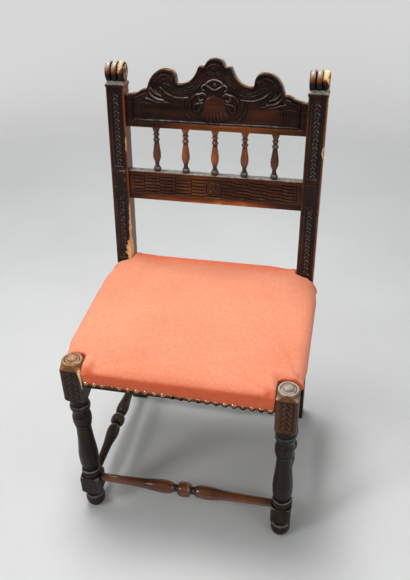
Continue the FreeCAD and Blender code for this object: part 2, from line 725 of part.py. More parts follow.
# Rolled edge at the sides, as shares of its width and of its rise, and the crown between them.
side_roll_shares = [(0.94, 0.34), (0.77, 0.64), (0.44, 0.90), (0.0, 1.0)]
crown_arc_shares = [(0.5, 0.78), (0.17, 0.98)]


def seat_section(inset, top, middle, sink):
    """One upright section across the seat: drawn in at the band, swelling over it, and crowned."""
    band = size("post_outer") + size("cover_thick") - inset
    bulge = band + size("side_bulge")
    edge = bulge - size("side_roll")
    foot, waist, swell = size("band_low") - sink, size("band_top"), size("swell_height")
    right = [(band, foot), (band, waist), (bulge, swell)]
    right += [(edge + out * (bulge - edge), swell + up * (top - swell)) for out, up in side_roll_shares]
    right += [(share * edge, top + up * (middle - top)) for share, up in crown_arc_shares]
    return closed(right + [(-x, z) for x, z in reversed(right)])


def seat_form(name, inset, sink):
    """The seat's outer form, drawn in by inset all round and carried down by sink.

    A loft runs through upright sections from front to back, and the drawn bands are then cut.
    """
    body = doc.addObject("PartDesign::Body", name + "_loft")
    front, back = size("seat_front_y") + inset, size("seat_back_y") - inset
    swell, rise, crown = size("swell_height"), size("edge_rise"), size("crown_height")
    stations = [(front + run * size("front_roll"), up * rise, up * rise + crown_shares[0][1] * up * crown)
                for run, up in roll_shares]
    start, depth = front + size("front_roll"), back - front - size("front_roll") - size("back_roll")
    stations += [(start + share * depth, rise + sides * crown, rise + middle * crown)
                 for share, middle, sides in crown_shares]
    end_middle, end_sides = crown_shares[-1][1] * crown, crown_shares[-1][2] * crown
    stations += [(back - run * size("back_roll"), up * (rise + end_sides), up * (rise + end_middle))
                 for run, up in reversed(roll_shares)]
    sections = []
    for index, (spot, sides, middle) in enumerate(stations):
        edges = seat_section(inset, swell + sides - inset, swell + middle - inset, sink)
        sections.append(sketch_on(body, "%s_section_%d" % (name, index + 1), "XZ_Plane", edges, -spot))
    loft = body.newObject("PartDesign::AdditiveLoft", name + "_skin")
    loft.Profile = sections[0]
    loft.Sections = sections[1:]
    loft.Ruled = True
    past = size("overrun")
    foot = size("band_low") - sink - past
    bands = []
    for edge, out in ((front, 1), (back, -1)):
        face = edge + out * size("front_bulge")
        bands += closed([(edge - out * past, foot), (face, foot), (face, size("band_top")),
                         (edge, swell), (edge - out * past, swell)])
    drawn = body.newObject("PartDesign::Pocket", name + "_bands")
    drawn.Profile = sketch_on(body, name + "_band_outline", "YZ_Plane", bands)
    drawn.Midplane = True
    bind(drawn, "Length", "2 * seat_reach")
    return body


def frame_well(name, top, inset):
    """The space of the rails and what lies between them, up to a height."""
    return box(name, "2 * (post_outer - (%s))" % inset,
               "back_rail_y + seat_rail_thick - front_rail_y - 2 * (%s)" % inset,
               top + " - seat_rail_low + overrun",
               ("%s - post_outer" % inset, "front_rail_y + " + inset, "seat_rail_low - overrun"))


def upholstery():
    thick, past = size("cover_thick"), size("overrun")
    outer = cut("cover_blank", seat_form("cover_outer", 0, 0), frame_notches("cover", "cover_gap"))
    inner = cut("cover_lining", seat_form("cover_inner", thick, past),
                frame_notches("lining", "cover_gap + cover_thick"))
    cover = cut("seat_cover", outer, [inner, frame_well("cover_well", "seat_top", "0")])
    foot = box("stuffing_foot", "2 * seat_reach", "2 * seat_reach",
               "band_top - seat_rail_low + overrun",
               ("-seat_reach", "-seat_reach", "seat_rail_low - overrun"))
    blank = cut("stuffing_blank", seat_form("stuffing_form", thick, past),
                frame_notches("stuffing", "cover_gap + cover_thick"))
    stuffing = cut("seat_stuffing", blank, [frame_well("rail_well", "seat_top", "0"), foot,
                                            frame_well("hessian_well", "stuffing_low", "hessian_inset")])
    return cover, stuffing


def hessian():
    sheet_box = box("hessian_sheet", "2 * (post_outer - hessian_inset)",
                    "back_rail_y + seat_rail_thick - front_rail_y - 2 * hessian_inset",
                    "hessian_thick",
                    ("hessian_inset - post_outer", "front_rail_y + hessian_inset", "web_top"))
    return cut("hessian", sheet_box, frame_notches("hessian", "cover_gap + cover_thick"))


# Dome-headed nails in a close row through the foot of the cover into each rail.

def nail(name, axis, spot):
    made = doc.addObject("Part::Prism", name)
    made.Polygon = int(size("nail_flats"))
    bind(made, "Circumradius", "nail_radius")
    bind(made, "Height", "nail_head")
    made.Placement = FreeCAD.Placement(Vector(), FreeCAD.Rotation(Vector(0, 0, 1), axis))
    place(made, *spot)
    return made


def nail_row(side, span, along, axis, fixed):
    """Nails at an even pitch, centred on the span between two faces."""
    count = int((span - 2 * size("nail_radius")) / size("nail_pitch")) + 1
    nails = []
    for index in range(count):
        offset = "%s + %g * nail_pitch" % (along, index - (count - 1) / 2)
        spot = (offset, fixed, "nail_z") if abs(axis.y) else (fixed, offset, "nail_z")
        nails.append(nail("nail_%s_%d" % (side, index + 1), axis, spot))
    return together("nails_" + side, nails)


def nails():
    side_middle = "(leg_back_y + post_face_y) / 2"
    side_span = size("post_face_y") - size("leg_back_y")
    return [
        nail_row("front", 2 * size("leg_inner"), "0", Vector(0, -1, 0),
                 "front_rail_y - cover_thick"),
        nail_row("back", 2 * size("post_inner"), "0", Vector(0, 1, 0),
                 "back_rail_y + seat_rail_thick + cover_thick"),
        nail_row("left", side_span, side_middle, Vector(-1, 0, 0), "-post_outer - cover_thick"),
        nail_row("right", side_span, side_middle, Vector(1, 0, 0), "post_outer + cover_thick"),
    ]


def build():
    """Every sub-part of the chair, in the order that it would be put together."""
    parts = []
    for side, sign in (("left", -1), ("right", 1)):
        parts += [front_leg(side, sign), rear_post(side, sign), side_rail(side, sign)]
        parts.append(stretcher(side, "post_face_y - leg_back_y", Vector(0, 1, 0),
                               ("%d * leg_x" % sign, "leg_back_y", "side_stretcher_height")))
    parts.append(stretcher("front", "2 * leg_inner", Vector(1, 0, 0),
                           ("-leg_inner", "leg_y", "front_stretcher_height")))
    parts.append(stretcher("back", "2 * post_inner", Vector(1, 0, 0),
                           ("-post_inner", "post_face_y + post_depth / 2", "front_stretcher_height")))
    parts.append(cross_rail("front_rail", "leg_inner", "front_rail_y", "seat_rail_front"))
    parts.append(cross_rail("back_rail", "post_inner", "back_rail_y", "seat_rail_back"))
    parts += corner_blocks()
    parts += [crest_rail(), lower_back_rail()]
    parts += [spindle(index) for index in range(spindle_count)]
    parts += list(webbing())
    parts.append(hessian())
    parts += list(upholstery())
    parts += nails()
    return parts


def check(parts):
    """Stop before anything is written if a feature failed or a shape is empty or not valid."""
    for thing in doc.Objects:
        if "Invalid" in thing.State or "Error" in thing.State:
            raise RuntimeError("%s did not build: %s" % (thing.Label, thing.State))
    for part in parts:
        if part.Shape.isNull() or not part.Shape.isValid() or not part.Shape.Solids:
            raise RuntimeError("%s has no valid solid" % part.Label)


parts = build()
doc.recompute()
check(parts)
os.makedirs("parts", exist_ok=True)
for part in parts:
    part.Label = part.Name
    part.Shape.exportStep("parts/%s.step" % part.Label)
    print("%-26s solids %3d  volume %10.0f" % (part.Label, len(part.Shape.Solids), part.Shape.Volume))
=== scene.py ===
import math

import bmesh
import bpy
import numpy as np
from mathutils import Matrix, Vector


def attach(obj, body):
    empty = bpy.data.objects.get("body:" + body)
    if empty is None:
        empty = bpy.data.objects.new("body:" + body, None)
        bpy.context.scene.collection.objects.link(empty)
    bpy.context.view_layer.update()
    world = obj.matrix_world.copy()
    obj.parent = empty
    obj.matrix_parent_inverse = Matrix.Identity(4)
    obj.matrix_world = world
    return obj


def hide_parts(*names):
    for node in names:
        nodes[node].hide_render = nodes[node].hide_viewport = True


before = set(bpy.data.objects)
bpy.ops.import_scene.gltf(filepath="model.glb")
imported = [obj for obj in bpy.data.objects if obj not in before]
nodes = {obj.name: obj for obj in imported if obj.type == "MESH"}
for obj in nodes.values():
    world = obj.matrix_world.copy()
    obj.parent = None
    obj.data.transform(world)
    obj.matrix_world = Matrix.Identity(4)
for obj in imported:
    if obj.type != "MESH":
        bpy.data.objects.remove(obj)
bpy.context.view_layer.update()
rng = np.random.default_rng(7)
MM = 0.001


def cad_span(node, axis):
    """Lowest and highest place of a CAD piece along an axis, in millimetres."""
    places = [corner[axis] / MM for corner in nodes[node].bound_box]
    return round(min(places), 3), round(max(places), 3)


def middle(span):
    return (span[0] + span[1]) / 2


def half(span):
    return (span[1] - span[0]) / 2


# main lines of the chair in millimetres, read off the CAD pieces where they show there
LEG_X, LEG_HALF = middle(cad_span("front_leg_right", 0)), half(cad_span("front_leg_right", 0))
LEG_Y = middle(cad_span("front_leg_right", 1))
POST_X = middle(cad_span("rear_post_right", 0))
POST_FACE = cad_span("rear_post_right", 1)[0]
POST_HALF, POST_DEPTH = 21.0, 40.0
INNER, LEG_INNER = POST_X - POST_HALF, LEG_X - LEG_HALF
LEG_BACK = LEG_Y + LEG_HALF
KNEE, RAKE = 483.0, math.radians(6.37)
RAIL_FACE, RAIL_THICK = 8.0, 24.0
COLLAR, ROLL_RUN = 436.0, 467.0
CREST_RUN, LOW_RUN, LOW_HIGH = 346.0, 168.5, 70.0


# tools that make meshes

def back(x, depth, run):
    """Point of the leaning back: depth is square to it from the posts' face, run along it."""
    sin, cos = math.sin(RAKE), math.cos(RAKE)
    x, depth, run = np.broadcast_arrays(x, depth, run)
    return np.stack([x, POST_FACE + depth * cos + run * sin, KNEE - depth * sin + run * cos], -1)


def make(name, points, faces, marks=None, material=None, smooth=True):
    """A mesh object from points in millimetres, faces, and per-point marks for its material."""
    mesh = bpy.data.meshes.new(name)
    mesh.from_pydata((np.asarray(points, float).reshape(-1, 3) * MM).tolist(), [], faces)
    mesh.validate()
    if smooth:
        mesh.shade_smooth()
    for key, values in (marks or {}).items():
        add_mark(mesh, key, values)
    if material:
        mesh.materials.append(material)
    made = bpy.data.objects.new(name, mesh)
    bpy.context.scene.collection.objects.link(made)
    return made


def add_mark(mesh, key, values):
    layer = mesh.attributes.new(key, "FLOAT", "POINT")
    layer.data.foreach_set("value", np.asarray(values, np.float32).ravel())


def grid_quads(rows, cols, wrap=False, start=0):
    """Faces of a grid of points, closed round its columns when wrap is true."""
    index = np.arange(rows * cols).reshape(rows, cols) + start
    if wrap:
        index = np.concatenate([index, index[:, :1]], 1)
    quads = np.stack([index[:-1, :-1], index[:-1, 1:], index[1:, 1:], index[1:, :-1]], -1)
    return quads.reshape(-1, 4).tolist()


def tube_faces(rows, cols, start=0, flipped=False):
    """Faces of rings of points, with one face at each end."""
    first = [start + k for k in range(cols)]
    last = [start + (rows - 1) * cols + k for k in range(cols)]
    ends = [first, last[::-1]] if flipped else [first[::-1], last]
    return grid_quads(rows, cols, True, start) + ends


def tube(name, grid, marks, material):
    """A closed skin from rings of points."""
    return make(name, grid, tube_faces(*grid.shape[:2]), marks, material)


def place(piece, slot, *replaced):
    """Ride on the chair's one body and stand for CAD nodes; the finish slot is not used."""
    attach(piece, "root")
    if replaced:
        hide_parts(*replaced)
    return piece


def choose(piece):
    """Make a piece the only selected one, for the operators that follow."""
    bpy.ops.object.select_all(action="DESELECT")
    piece.select_set(True)
    bpy.context.view_layer.objects.active = piece


def thicken(piece, thick, offset):
    """Give a sheet its thickness, in metres, as solid geometry."""
    solid = piece.modifiers.new("thick", "SOLIDIFY")
    solid.thickness, solid.offset = thick, offset
    bpy.ops.object.modifier_apply(modifier=solid.name)


def profile(points, step):
    """Smooth line through (place, size) pairs that never overshoots them."""
    x, y = np.array(points, float).T
    h, slope = np.diff(x), np.diff(y) / np.diff(x)
    tangent = np.zeros(len(x))
    product = slope[:-1] * slope[1:]
    same = product > 0
    tangent[1:-1][same] = (2 * product / np.where(same, slope[:-1] + slope[1:], 1))[same]
    tangent[0], tangent[-1] = slope[0], slope[-1]
    at = np.unique(np.concatenate([np.arange(x[0], x[-1], step), x]))
    k = np.clip(np.searchsorted(x, at, side="right") - 1, 0, len(h) - 1)
    t = (at - x[k]) / h[k]
    value = ((2 * t**3 - 3 * t**2 + 1) * y[k] + (t**3 - 2 * t**2 + t) * h[k] * tangent[k]
             + (3 * t**2 - 2 * t**3) * y[k + 1] + (t**3 - t**2) * h[k] * tangent[k + 1])
    return at, value


def blur(values, width, axis=0):
    """Running mean over a few samples, with the ends held."""
    pad = [(0, 0)] * values.ndim
    pad[axis] = (width, width)
    total = np.cumsum(np.pad(values, pad, mode="edge"), axis)
    size = values.shape[axis]
    high = np.take(total, np.arange(2 * width, 2 * width + size), axis)
    low = np.take(total, np.arange(0, size), axis)
    return (high - low) / (2 * width)


def wear_of(height, width=3, gain=1.6):
    """Raised places count above zero and hollows below, for the polish with its painted highlights, and the
    dirt.
    """
    soft = height
    for _ in range(2):
        soft = blur(blur(soft, width, 0), width, 1)
    return np.clip((height - soft) * gain, -1, 1)


def ridges_of(size, width, gain, most):
    """The same along a turned profile."""
    return np.clip((size - blur(blur(size, width), width)) * gain, -0.9, most)


def curve(points, per=10):
    """Catmull-Rom line through points."""
    p = np.array(points, float)
    p = np.vstack([2 * p[0] - p[1], p, 2 * p[-1] - p[-2]])
    t = np.linspace(0, 1, per, endpoint=False)[:, None]
    runs = []
    for a, b, c, d in zip(p[:-3], p[1:-2], p[2:-1], p[3:]):
        runs.append(0.5 * (2 * b + (c - a) * t + (2 * a - 5 * b + 4 * c - d) * t**2
                           + (3 * b - a - 3 * c + d) * t**3))
    return np.vstack(runs + [p[-2:-1]])


def bead(field, U, Z, points, width, high, base, taper=0.0):
    """Raise a round-topped moulding along a line on a relief."""
    line = curve(points)
    near = ((U > line[:, 0].min() - width) & (U < line[:, 0].max() + width)
            & (Z > line[:, 1].min() - width) & (Z < line[:, 1].max() + width))
    u, z = U[near], Z[near]
    gap, part = np.full(u.shape, np.inf), np.zeros(u.shape)
    for k in range(len(line) - 1):
        a, d = line[k], line[k + 1] - line[k]
        t = np.clip(((u - a[0]) * d[0] + (z - a[1]) * d[1]) / max(d @ d, 1e-9), 0, 1)
        far = np.hypot(u - a[0] - t * d[0], z - a[1] - t * d[1])
        hit = far < gap
        gap[hit], part[hit] = far[hit], (k + t[hit]) / (len(line) - 1)
    wide = width * (1 - taper * part)
    lift = base + high * np.sqrt(np.clip(1 - (gap / np.maximum(wide, 0.1))**2, 0, 1))
    field[near] = np.maximum(field[near], np.where(gap < wide, lift, -np.inf))


def dome(field, U, Z, x, z, rx, rz, high, base):
    """Raise a rounded boss on a relief."""
    inside = 1 - ((U - x) / rx)**2 - ((Z - z) / rz)**2
    lift = np.where(inside > 0, base + high * np.sqrt(np.clip(inside, 0, 1)), -np.inf)
    np.maximum(field, lift, out=field)


# tools that make materials

def shader_of(name):
    """A new material with its node tree and main shader."""
    material = bpy.data.materials.new(name)
    material.use_nodes = True
    tree = material.node_tree
    return material, tree, tree.nodes["Principled BSDF"]


def add(tree, kind, inputs=None, **props):
    """A node, with its inputs fed by sockets or plain values."""
    node = tree.nodes.new(kind)
    for key, value in props.items():
        setattr(node, key, value)
    for key, value in (inputs or {}).items():
        if isinstance(value, bpy.types.NodeSocket):
            tree.links.new(value, node.inputs[key])
        else:
            node.inputs[key].default_value = value
    return node


def rgb(text):
    """Linear colour from the way it is written on screen, as six hexadecimal digits."""
    parts = [int(text[k:k + 2], 16) / 255 for k in (0, 2, 4)]
    return tuple(c / 12.92 if c < 0.04045 else ((c + 0.055) / 1.055)**2.4 for c in parts) + (1.0,)


def ramp(tree, fac, stops):
    node = add(tree, "ShaderNodeValToRGB", {"Fac": fac})
    while len(node.color_ramp.elements) < len(stops):
        node.color_ramp.elements.new(0.5)
    for element, (position, colour) in zip(node.color_ramp.elements, stops):
        element.position, element.color = position, rgb(colour)
    return node.outputs["Color"]


def blend(tree, fac, a, b, mode="MIX"):
    node = add(tree, "ShaderNodeMix", {0: fac, 6: a, 7: b}, data_type="RGBA", blend_type=mode)
    return node.outputs[2]


def remap(tree, value, low, high, out_low=0.0, out_high=1.0):
    """Spread a value from one range to another, held at the ends."""
    return add(tree, "ShaderNodeMapRange", {"Value": value, "From Min": low, "From Max": high,
                                            "To Min": out_low, "To Max": out_high}).outputs["Result"]


def calc(tree, operation, *values):
    """The result of a sum on sockets or plain numbers."""
    return add(tree, "ShaderNodeMath", dict(enumerate(values)), operation=operation).outputs[0]


def noise(tree, spot, scale, detail, roughness=0.5, distortion=0.0):
    inputs = {"Vector": spot, "Scale": scale, "Detail": detail, "Roughness": roughness,
              "Distortion": distortion}
    return add(tree, "ShaderNodeTexNoise", inputs).outputs["Fac"]


def along_grain(tree, spot, grain, along, across):
    """Places scaled one way along the grain and another way across it."""
    scale = [along if axis == grain else across for axis in "xyz"]
    return add(tree, "ShaderNodeMapping", {"Vector": spot, "Scale": scale}).outputs["Vector"]


def mark(tree, key):
    return add(tree, "ShaderNodeAttribute", attribute_name=key).outputs["Fac"]


def object_place(tree):
    return add(tree, "ShaderNodeTexCoord").outputs["Object"]


def facing(tree):
    """Components of the direction that the surface faces."""
    normal = add(tree, "ShaderNodeNewGeometry").outputs["Normal"]
    return add(tree, "ShaderNodeSeparateXYZ", {"Vector": normal}).outputs


def camera_ray(tree):
    return add(tree, "ShaderNodeLightPath").outputs["Is Camera Ray"]


def bumps(tree, shader, *layers):
    """Lay bumps of (height, strength, distance in metres) over each other."""
    inputs = {}
    for height, strength, distance in layers:
        inputs.update({"Height": height, "Strength": strength, "Distance": distance})
        inputs["Normal"] = add(tree, "ShaderNodeBump", inputs).outputs["Normal"]
    tree.links.new(inputs["Normal"], shader.inputs["Normal"])


# wood, cloth and brass

# what shows where raised work without any warmth of its own has been rubbed, and the grey of the painted
# glints and sheen on faces that look up
GLINT_AND_WEAR_GREY = "b4aca0"
HONEY = [(0.1, "6a3415"), (0.9, "b8692c")]
DIRT_AND_SHADE, RAW_WAXED = "0d0706", "c67c38"
RAW_WOOD = [(0.15, "a26c38"), (0.42, "e2b575"), (0.75, "f6dcaa")]


def wood(name, grain, tones, edge, worn_and_painted_light=GLINT_AND_WEAR_GREY, rough=(0.3, 0.5), coat=0.32, shine=0.15):
    """Old waxed wood: grain along one axis, dirt in hollows, rubbed arrises, and raw breaks; the rubbed
    colour is also a painted highlight on faces that look up, and the dirt colour also paints shade under
    some pieces.
    """
    material, tree, shader = shader_of(name)
    spot = object_place(tree)
    streak = noise(tree, along_grain(tree, spot, grain, 2.2, 30), 2.6, 7.0, 0.62, 0.35)
    pores = noise(tree, along_grain(tree, spot, grain, 20, 420), 3.0, 3.0, 0.7)
    patch, nick = noise(tree, spot, 11.0, 4.0, 0.6), noise(tree, spot, 85.0, 5.0, 0.65)
    wear, warm, chips = mark(tree, "wear"), mark(tree, "warm"), mark(tree, "raw")
    tone = calc(tree, "MULTIPLY", remap(tree, streak, 0.3, 0.7), 0.62)
    tone = calc(tree, "MULTIPLY_ADD", remap(tree, patch, 0.3, 0.7), 0.38, tone)
    colour = ramp(tree, tone, list(zip((0.12, 0.5, 0.92), tones)))
    colour = blend(tree, warm, colour, ramp(tree, tone, HONEY))
    # dirt in hollows; where a piece's wear mark is pushed below zero under it, the same dark colour is
    # painted shade
    hollow = remap(tree, wear, -0.04, -0.6)
    colour = blend(tree, hollow, colour, rgb(DIRT_AND_SHADE))
    rub = calc(tree, "ADD", wear, remap(tree, nick, 0.3, 0.7, -0.35, 0.4))
    # painted highlight: the rubbed colour shows mostly on faces that look up to the lamps, hardly at all on
    # the others
    rubbed_and_lit = calc(tree, "MULTIPLY", remap(tree, rub, 0.3, 1.1, 0.0, 0.85),
                    remap(tree, facing(tree)["Z"], 0.25, 0.97, 0.10, 1.0))
    polish_and_glint = blend(tree, remap(tree, warm, 0.05, 0.45), rgb(worn_and_painted_light), rgb(edge))
    colour = blend(tree, rubbed_and_lit, colour, polish_and_glint)
    jag = calc(tree, "ADD", chips, remap(tree, nick, 0.3, 0.7, -0.35, 0.35))
    raw = remap(tree, jag, 0.42, 0.58)
    fresh = blend(tree, warm, ramp(tree, tone, RAW_WOOD), rgb(RAW_WAXED))
    tree.links.new(blend(tree, raw, colour, fresh), shader.inputs["Base Color"])
    dull = calc(tree, "MULTIPLY_ADD", hollow, 0.3, remap(tree, patch, 0.3, 0.7, *rough))
    tree.links.new(calc(tree, "MULTIPLY_ADD", raw, 0.35, dull), shader.inputs["Roughness"])
    shader.inputs["Specular IOR Level"].default_value = 0.12
    shader.inputs["Coat Weight"].default_value = coat
    shader.inputs["Coat Roughness"].default_value = shine
    bumps(tree, shader, (pores, 0.25, 0.0004), (nick, 0.35, 0.0012))
    return material


def woven(name, warp, weft, thread, sheen, tint=None, shade_tint="ffffff"):
    """Plain weave of two thread colours with slubs; painted shade gives its steep front faces and its
    marked hollows a deeper tint, and a marked band along the nails goes dark brown.
    """
    material, tree, shader = shader_of(name)
    spot = object_place(tree)
    split = add(tree, "ShaderNodeSeparateXYZ", {"Vector": spot}).outputs
    waves = []
    for value in (split["X"], calc(tree, "ADD", split["Y"], split["Z"])):
        turns = calc(tree, "MULTIPLY", value, math.pi / (thread * MM))
        waves.append(calc(tree, "SINE", turns))
    check = calc(tree, "MULTIPLY", *waves)
    slub, cloud = noise(tree, spot, 130.0, 6.0, 0.75), noise(tree, spot, 6.0, 3.0)
    colour = blend(tree, remap(tree, check, -0.5, 0.5), rgb(warp), rgb(weft))
    colour = blend(tree, remap(tree, slub, 0.4, 0.65, 0.0, 0.75), colour, rgb(tint or weft))
    mottled = blend(tree, 1.0, colour, ramp(tree, cloud, [(0.3, "f2e8e4"), (0.7, "ffffff")]), "MULTIPLY")
    deeper = blend(tree, 1.0, mottled, rgb(shade_tint), "MULTIPLY")
    # painted shade: steep faces, most of all those that look to the front, and the marked hollow before the
    # back roll take the shade tint
    faces = facing(tree)
    steep = calc(tree, "MULTIPLY", remap(tree, faces["Z"], 0.965, 0.40),
                   remap(tree, faces["Y"], -0.1, -0.9, 0.2, 1.0))
    colour = blend(tree, calc(tree, "MAXIMUM", steep, mark(tree, "deep")), mottled, deeper)
    # a dark brown band where the seat marks it, along the front row of nails
    colour = blend(tree, mark(tree, "nail_band"), colour, rgb("35170e"))
    tree.links.new(colour, shader.inputs["Base Color"])
    shader.inputs["Roughness"].default_value = 0.85
    shader.inputs["Specular IOR Level"].default_value = 0.25
    shader.inputs["Sheen Weight"].default_value = sheen
    shader.inputs["Sheen Roughness"].default_value = 0.45
    threads = calc(tree, "ADD", check, noise(tree, spot, 900.0, 2.0))
    bumps(tree, shader, (threads, 0.4, 0.0005), (slub, 0.25, 0.002))
    return material


def brass(name):
    """Dull brass, browner below and brighter above: painted shade on faces that look down and a painted
    highlight on faces that look up.
    """
    material, tree, shader = shader_of(name)
    patch = noise(tree, object_place(tree), 170.0, 4.0)
    # painted light: faces that look up get lighter, faces that look down darker
    tone = calc(tree, "ADD", remap(tree, facing(tree)["Z"], -0.25, 0.65, -0.5, 0.4),
                  calc(tree, "ADD", patch, mark(tree, "wear")))
    colour = ramp(tree, tone, [(0.2, "1a0f08"), (0.55, "7a5230"), (0.92, "e8c096")])
    tree.links.new(colour, shader.inputs["Base Color"])
    shader.inputs["Metallic"].default_value = 1.0
    tree.links.new(remap(tree, tone, 0.3, 1.0, 0.45, 0.24), shader.inputs["Roughness"])
    bumps(tree, shader, (patch, 0.2, 0.0006))
    return material


TURNED, PLAIN = ("120805", "2a130b", "4a2513"), ("23150d", "3a2517", "553a24")
# the colour after each wood's three tones is that of its rubbed arrises and of the painted highlights on
# its faces that look up
wood_z = wood("stained_wood_upright", "z", ("110705", "25110a", "422112"), "cbac87")
leg_wood = wood("stained_wood_legs", "z", ("0e0604", "1f0e08", "39200f"), "cbac87", coat=0.16)
wood_x = wood("stained_wood_across", "x", ("120805", "27110a", "472312"), "dcc49a", coat=0.22)
wood_y = wood("stained_wood_deep", "y", ("0f0c09", "2a2119", "4d4033"), "a08c6a")
turned_z = wood("varnished_upright", "z", TURNED, "b08c66", coat=1.0, shine=0.07)
turned_x = wood("varnished_across", "x", TURNED, "b08c66", coat=1.0, shine=0.12)
plain_x = wood("plain_wood_across", "x", PLAIN, "7d6244", "7d6244", rough=(0.6, 0.8), coat=0.0)
plain_y = wood("plain_wood_deep", "y", PLAIN, "7d6244", "7d6244", rough=(0.6, 0.8), coat=0.0)
seat_cloth = woven("seat_cloth", "e38663", "f5ad8a", 0.9, 0.15, tint="e98461", shade_tint="ffbfa2")
jute = woven("jute", "8f7247", "b8996a", 1.6, 0.1)
sacking = woven("sacking", "84683f", "ad8f60", 2.4, 0.1)
nail_brass = brass("nail_brass")


# carved running pattern of the posts and leg blocks

def vine(across, along, pitch=19.0, wide=9.5, fat=1.0):
    """Height of a winding stem with leaves, in millimetres over its sunk ground."""
    stem_x = 0.42 * wide * np.sin(math.tau * along / pitch)
    high = 1.5 * np.sqrt(np.clip(1 - ((across - stem_x) / (1.7 * fat))**2, 0, 1))
    for shift, side in ((0.25, -1), (0.75, 1)):
        v = ((along / pitch - shift + 0.5) % 1 - 0.5) * pitch
        u = across - side * 0.40 * wide
        # the leaf's own axes, across it and along it
        a, b = (u + side * v * 0.8) / (1.28 * fat), (v - side * u * 0.8) / (1.28 * fat)
        leaf = np.clip(1 - (a / 2.6)**2 - (b / 5.0)**2, 0, 1)
        rib = 0.35 * np.cos(np.clip(a / 1.3, -3, 3))
        high = np.maximum(high, 1.6 * np.sqrt(leaf) + np.where(leaf > 0, rib, 0))
    return high


# front legs: (height over the floor, radius) in millimetres, then the cap that folds in on itself

LEG_PROFILE = [
    (0, 12.5), (2, 16), (5.5, 18.2), (13, 22.1), (25, 23.5), (36, 22.0), (45, 16.8), (50, 17.0),
    (52.2, 20.0), (61, 34), (100, 34), (108.6, 22.6), (109.5, 21.6), (112, 23.1), (116, 23.3),
    (119.5, 21.6), (121, 22.4), (125, 22.0), (129, 18.0), (137, 18.8), (146, 22.3), (158, 23.2),
    (172, 23.3), (194, 21.8), (218, 19.7), (243, 18.1), (262, 17.4), (271.5, 17.5), (272.8, 19.3),
    (275, 20.0), (279, 20.0), (281, 18.6), (285, 21.9), (300, 22.1), (308, 20.2), (314, 19.5),
    (320, 20.2), (328.5, 23.1), (333, 23.6), (337, 23.0), (344, 19.6), (350, 19.4), (357, 21.0),
    (358.5, 22.8), (367, 34), (446, 34), (451, 28.6), (455, 25.6), (458.6, 24.0), (461.6, 22.6)]
LEG_CAP = [(463.2, 20.4), (463.6, 18.4), (462.6, 16.6), (462.2, 14.0), (463.2, 12.4), (465.4, 11.4),
           (467.6, 9.0), (469.2, 5.6), (469.9, 1.6)]
# the legs were turned by hand: rings and top sit this much higher or lower than the pattern
RING_SHIFT = {"left": 4.0, "right": -6.0}
TOP_LIFT = {"left": 8.0, "right": 0.0}
BLOCK_RADIUS, ROUND_RADIUS = 28.0, 30.0
BLOCK_FOOT, RIM_FOOT, CAP_FOOT = 362.0, 446.5, 459.0
PANEL_HALF, PANEL_LOW, PANEL_HIGH = 17.5, 369.0, 444.0
PER_FACE = 44
CAP_SHINE = {"left": 0.7, "right": 0.95}
# warmth of cap, rim and block
LEG_WARMTH = {"left": (0.45, 0.6, 0.04), "right": (0.1, 0.36, 0.14)}


def square_turn(theta, radius, corner=22.0, join=40.0):
    """Distance from the axis of square stock that has been turned down to a radius."""
    cos, sin = np.abs(np.cos(theta)), np.abs(np.sin(theta))
    flat = LEG_HALF / (cos**corner + sin**corner)**(1 / corner)
    return (flat**-join + radius**-join)**(-1 / join)


def leg_rows(side):
    """Height in the pattern, height on this leg and radius, from the foot to the cap."""
    stock, radius = np.concatenate([profile(LEG_PROFILE, 0.9), np.array(LEG_CAP).T], 1)
    z = stock + RING_SHIFT[side] * np.interp(stock, [0, 60, 160, 362, 440], [0, 0, 1, 1, 0])
    return stock, z + TOP_LIFT[side] * np.clip((stock - 366) / 74, 0, 1), radius


def leg_angles():
    """Directions of the points round a leg, as many on each face of its blocks."""
    t = (np.arange(PER_FACE) + 0.5) / PER_FACE * 2 - 1
    one = np.ones(PER_FACE)
    x, y = np.concatenate([(t, -one), (one, t), (-t, one), (-one, -t)], 1)
    return np.arctan2(y, x)[None, :]


def leg_panels(x, y, height, sign):
    """Depth of the carving on the front of the upper block and on its outer side."""
    dent = np.zeros_like(x)
    face_of = np.arange(x.shape[1])[None, :] // PER_FACE
    for face, across in ((0, x), (1 if sign > 0 else 3, y)):
        edge = np.minimum(height - PANEL_LOW, PANEL_HIGH - height)
        edge = np.minimum(PANEL_HALF - np.abs(across), edge)
        ground = 1.5 * np.clip(edge / 2.2, 0, 1)
        pattern = 0.95 * vine(across, height - PANEL_LOW + 8 * face, pitch=25.0, wide=19.0, fat=1.4)
        dent = np.where((face_of == face) & (edge > 0), np.clip(ground - pattern, 0, 3), dent)
    return dent


def leg_wear(side, out, radius, dent, height):
    """Rubbed arrises, rings and carving, and the turned circles of the cap."""
    block = radius[:, None] > BLOCK_RADIUS
    arris = np.clip((out / LEG_HALF - 1.12) * 3.2, 0, 0.9) * block
    carved = wear_of(-dent, 2, 1.3)
    ridge = np.where(block, 0, ridges_of(radius, 5, 1.1, 0.9)[:, None])
    wear = np.maximum(arris, carved) + ridge + np.minimum(carved, 0)
    rings = CAP_SHINE[side] + 0.2 * np.sin(np.clip(out - 11.5, 0, 12) * math.tau / 6.0)
    rings = rings - 0.6 * np.exp(-((out - 16.4) / 1.2)**2) * (height > CAP_FOOT + 1)
    return np.where(height > RIM_FOOT, np.clip(0.3 + (height - RIM_FOOT) / 4, 0, 1) * rings, wear)


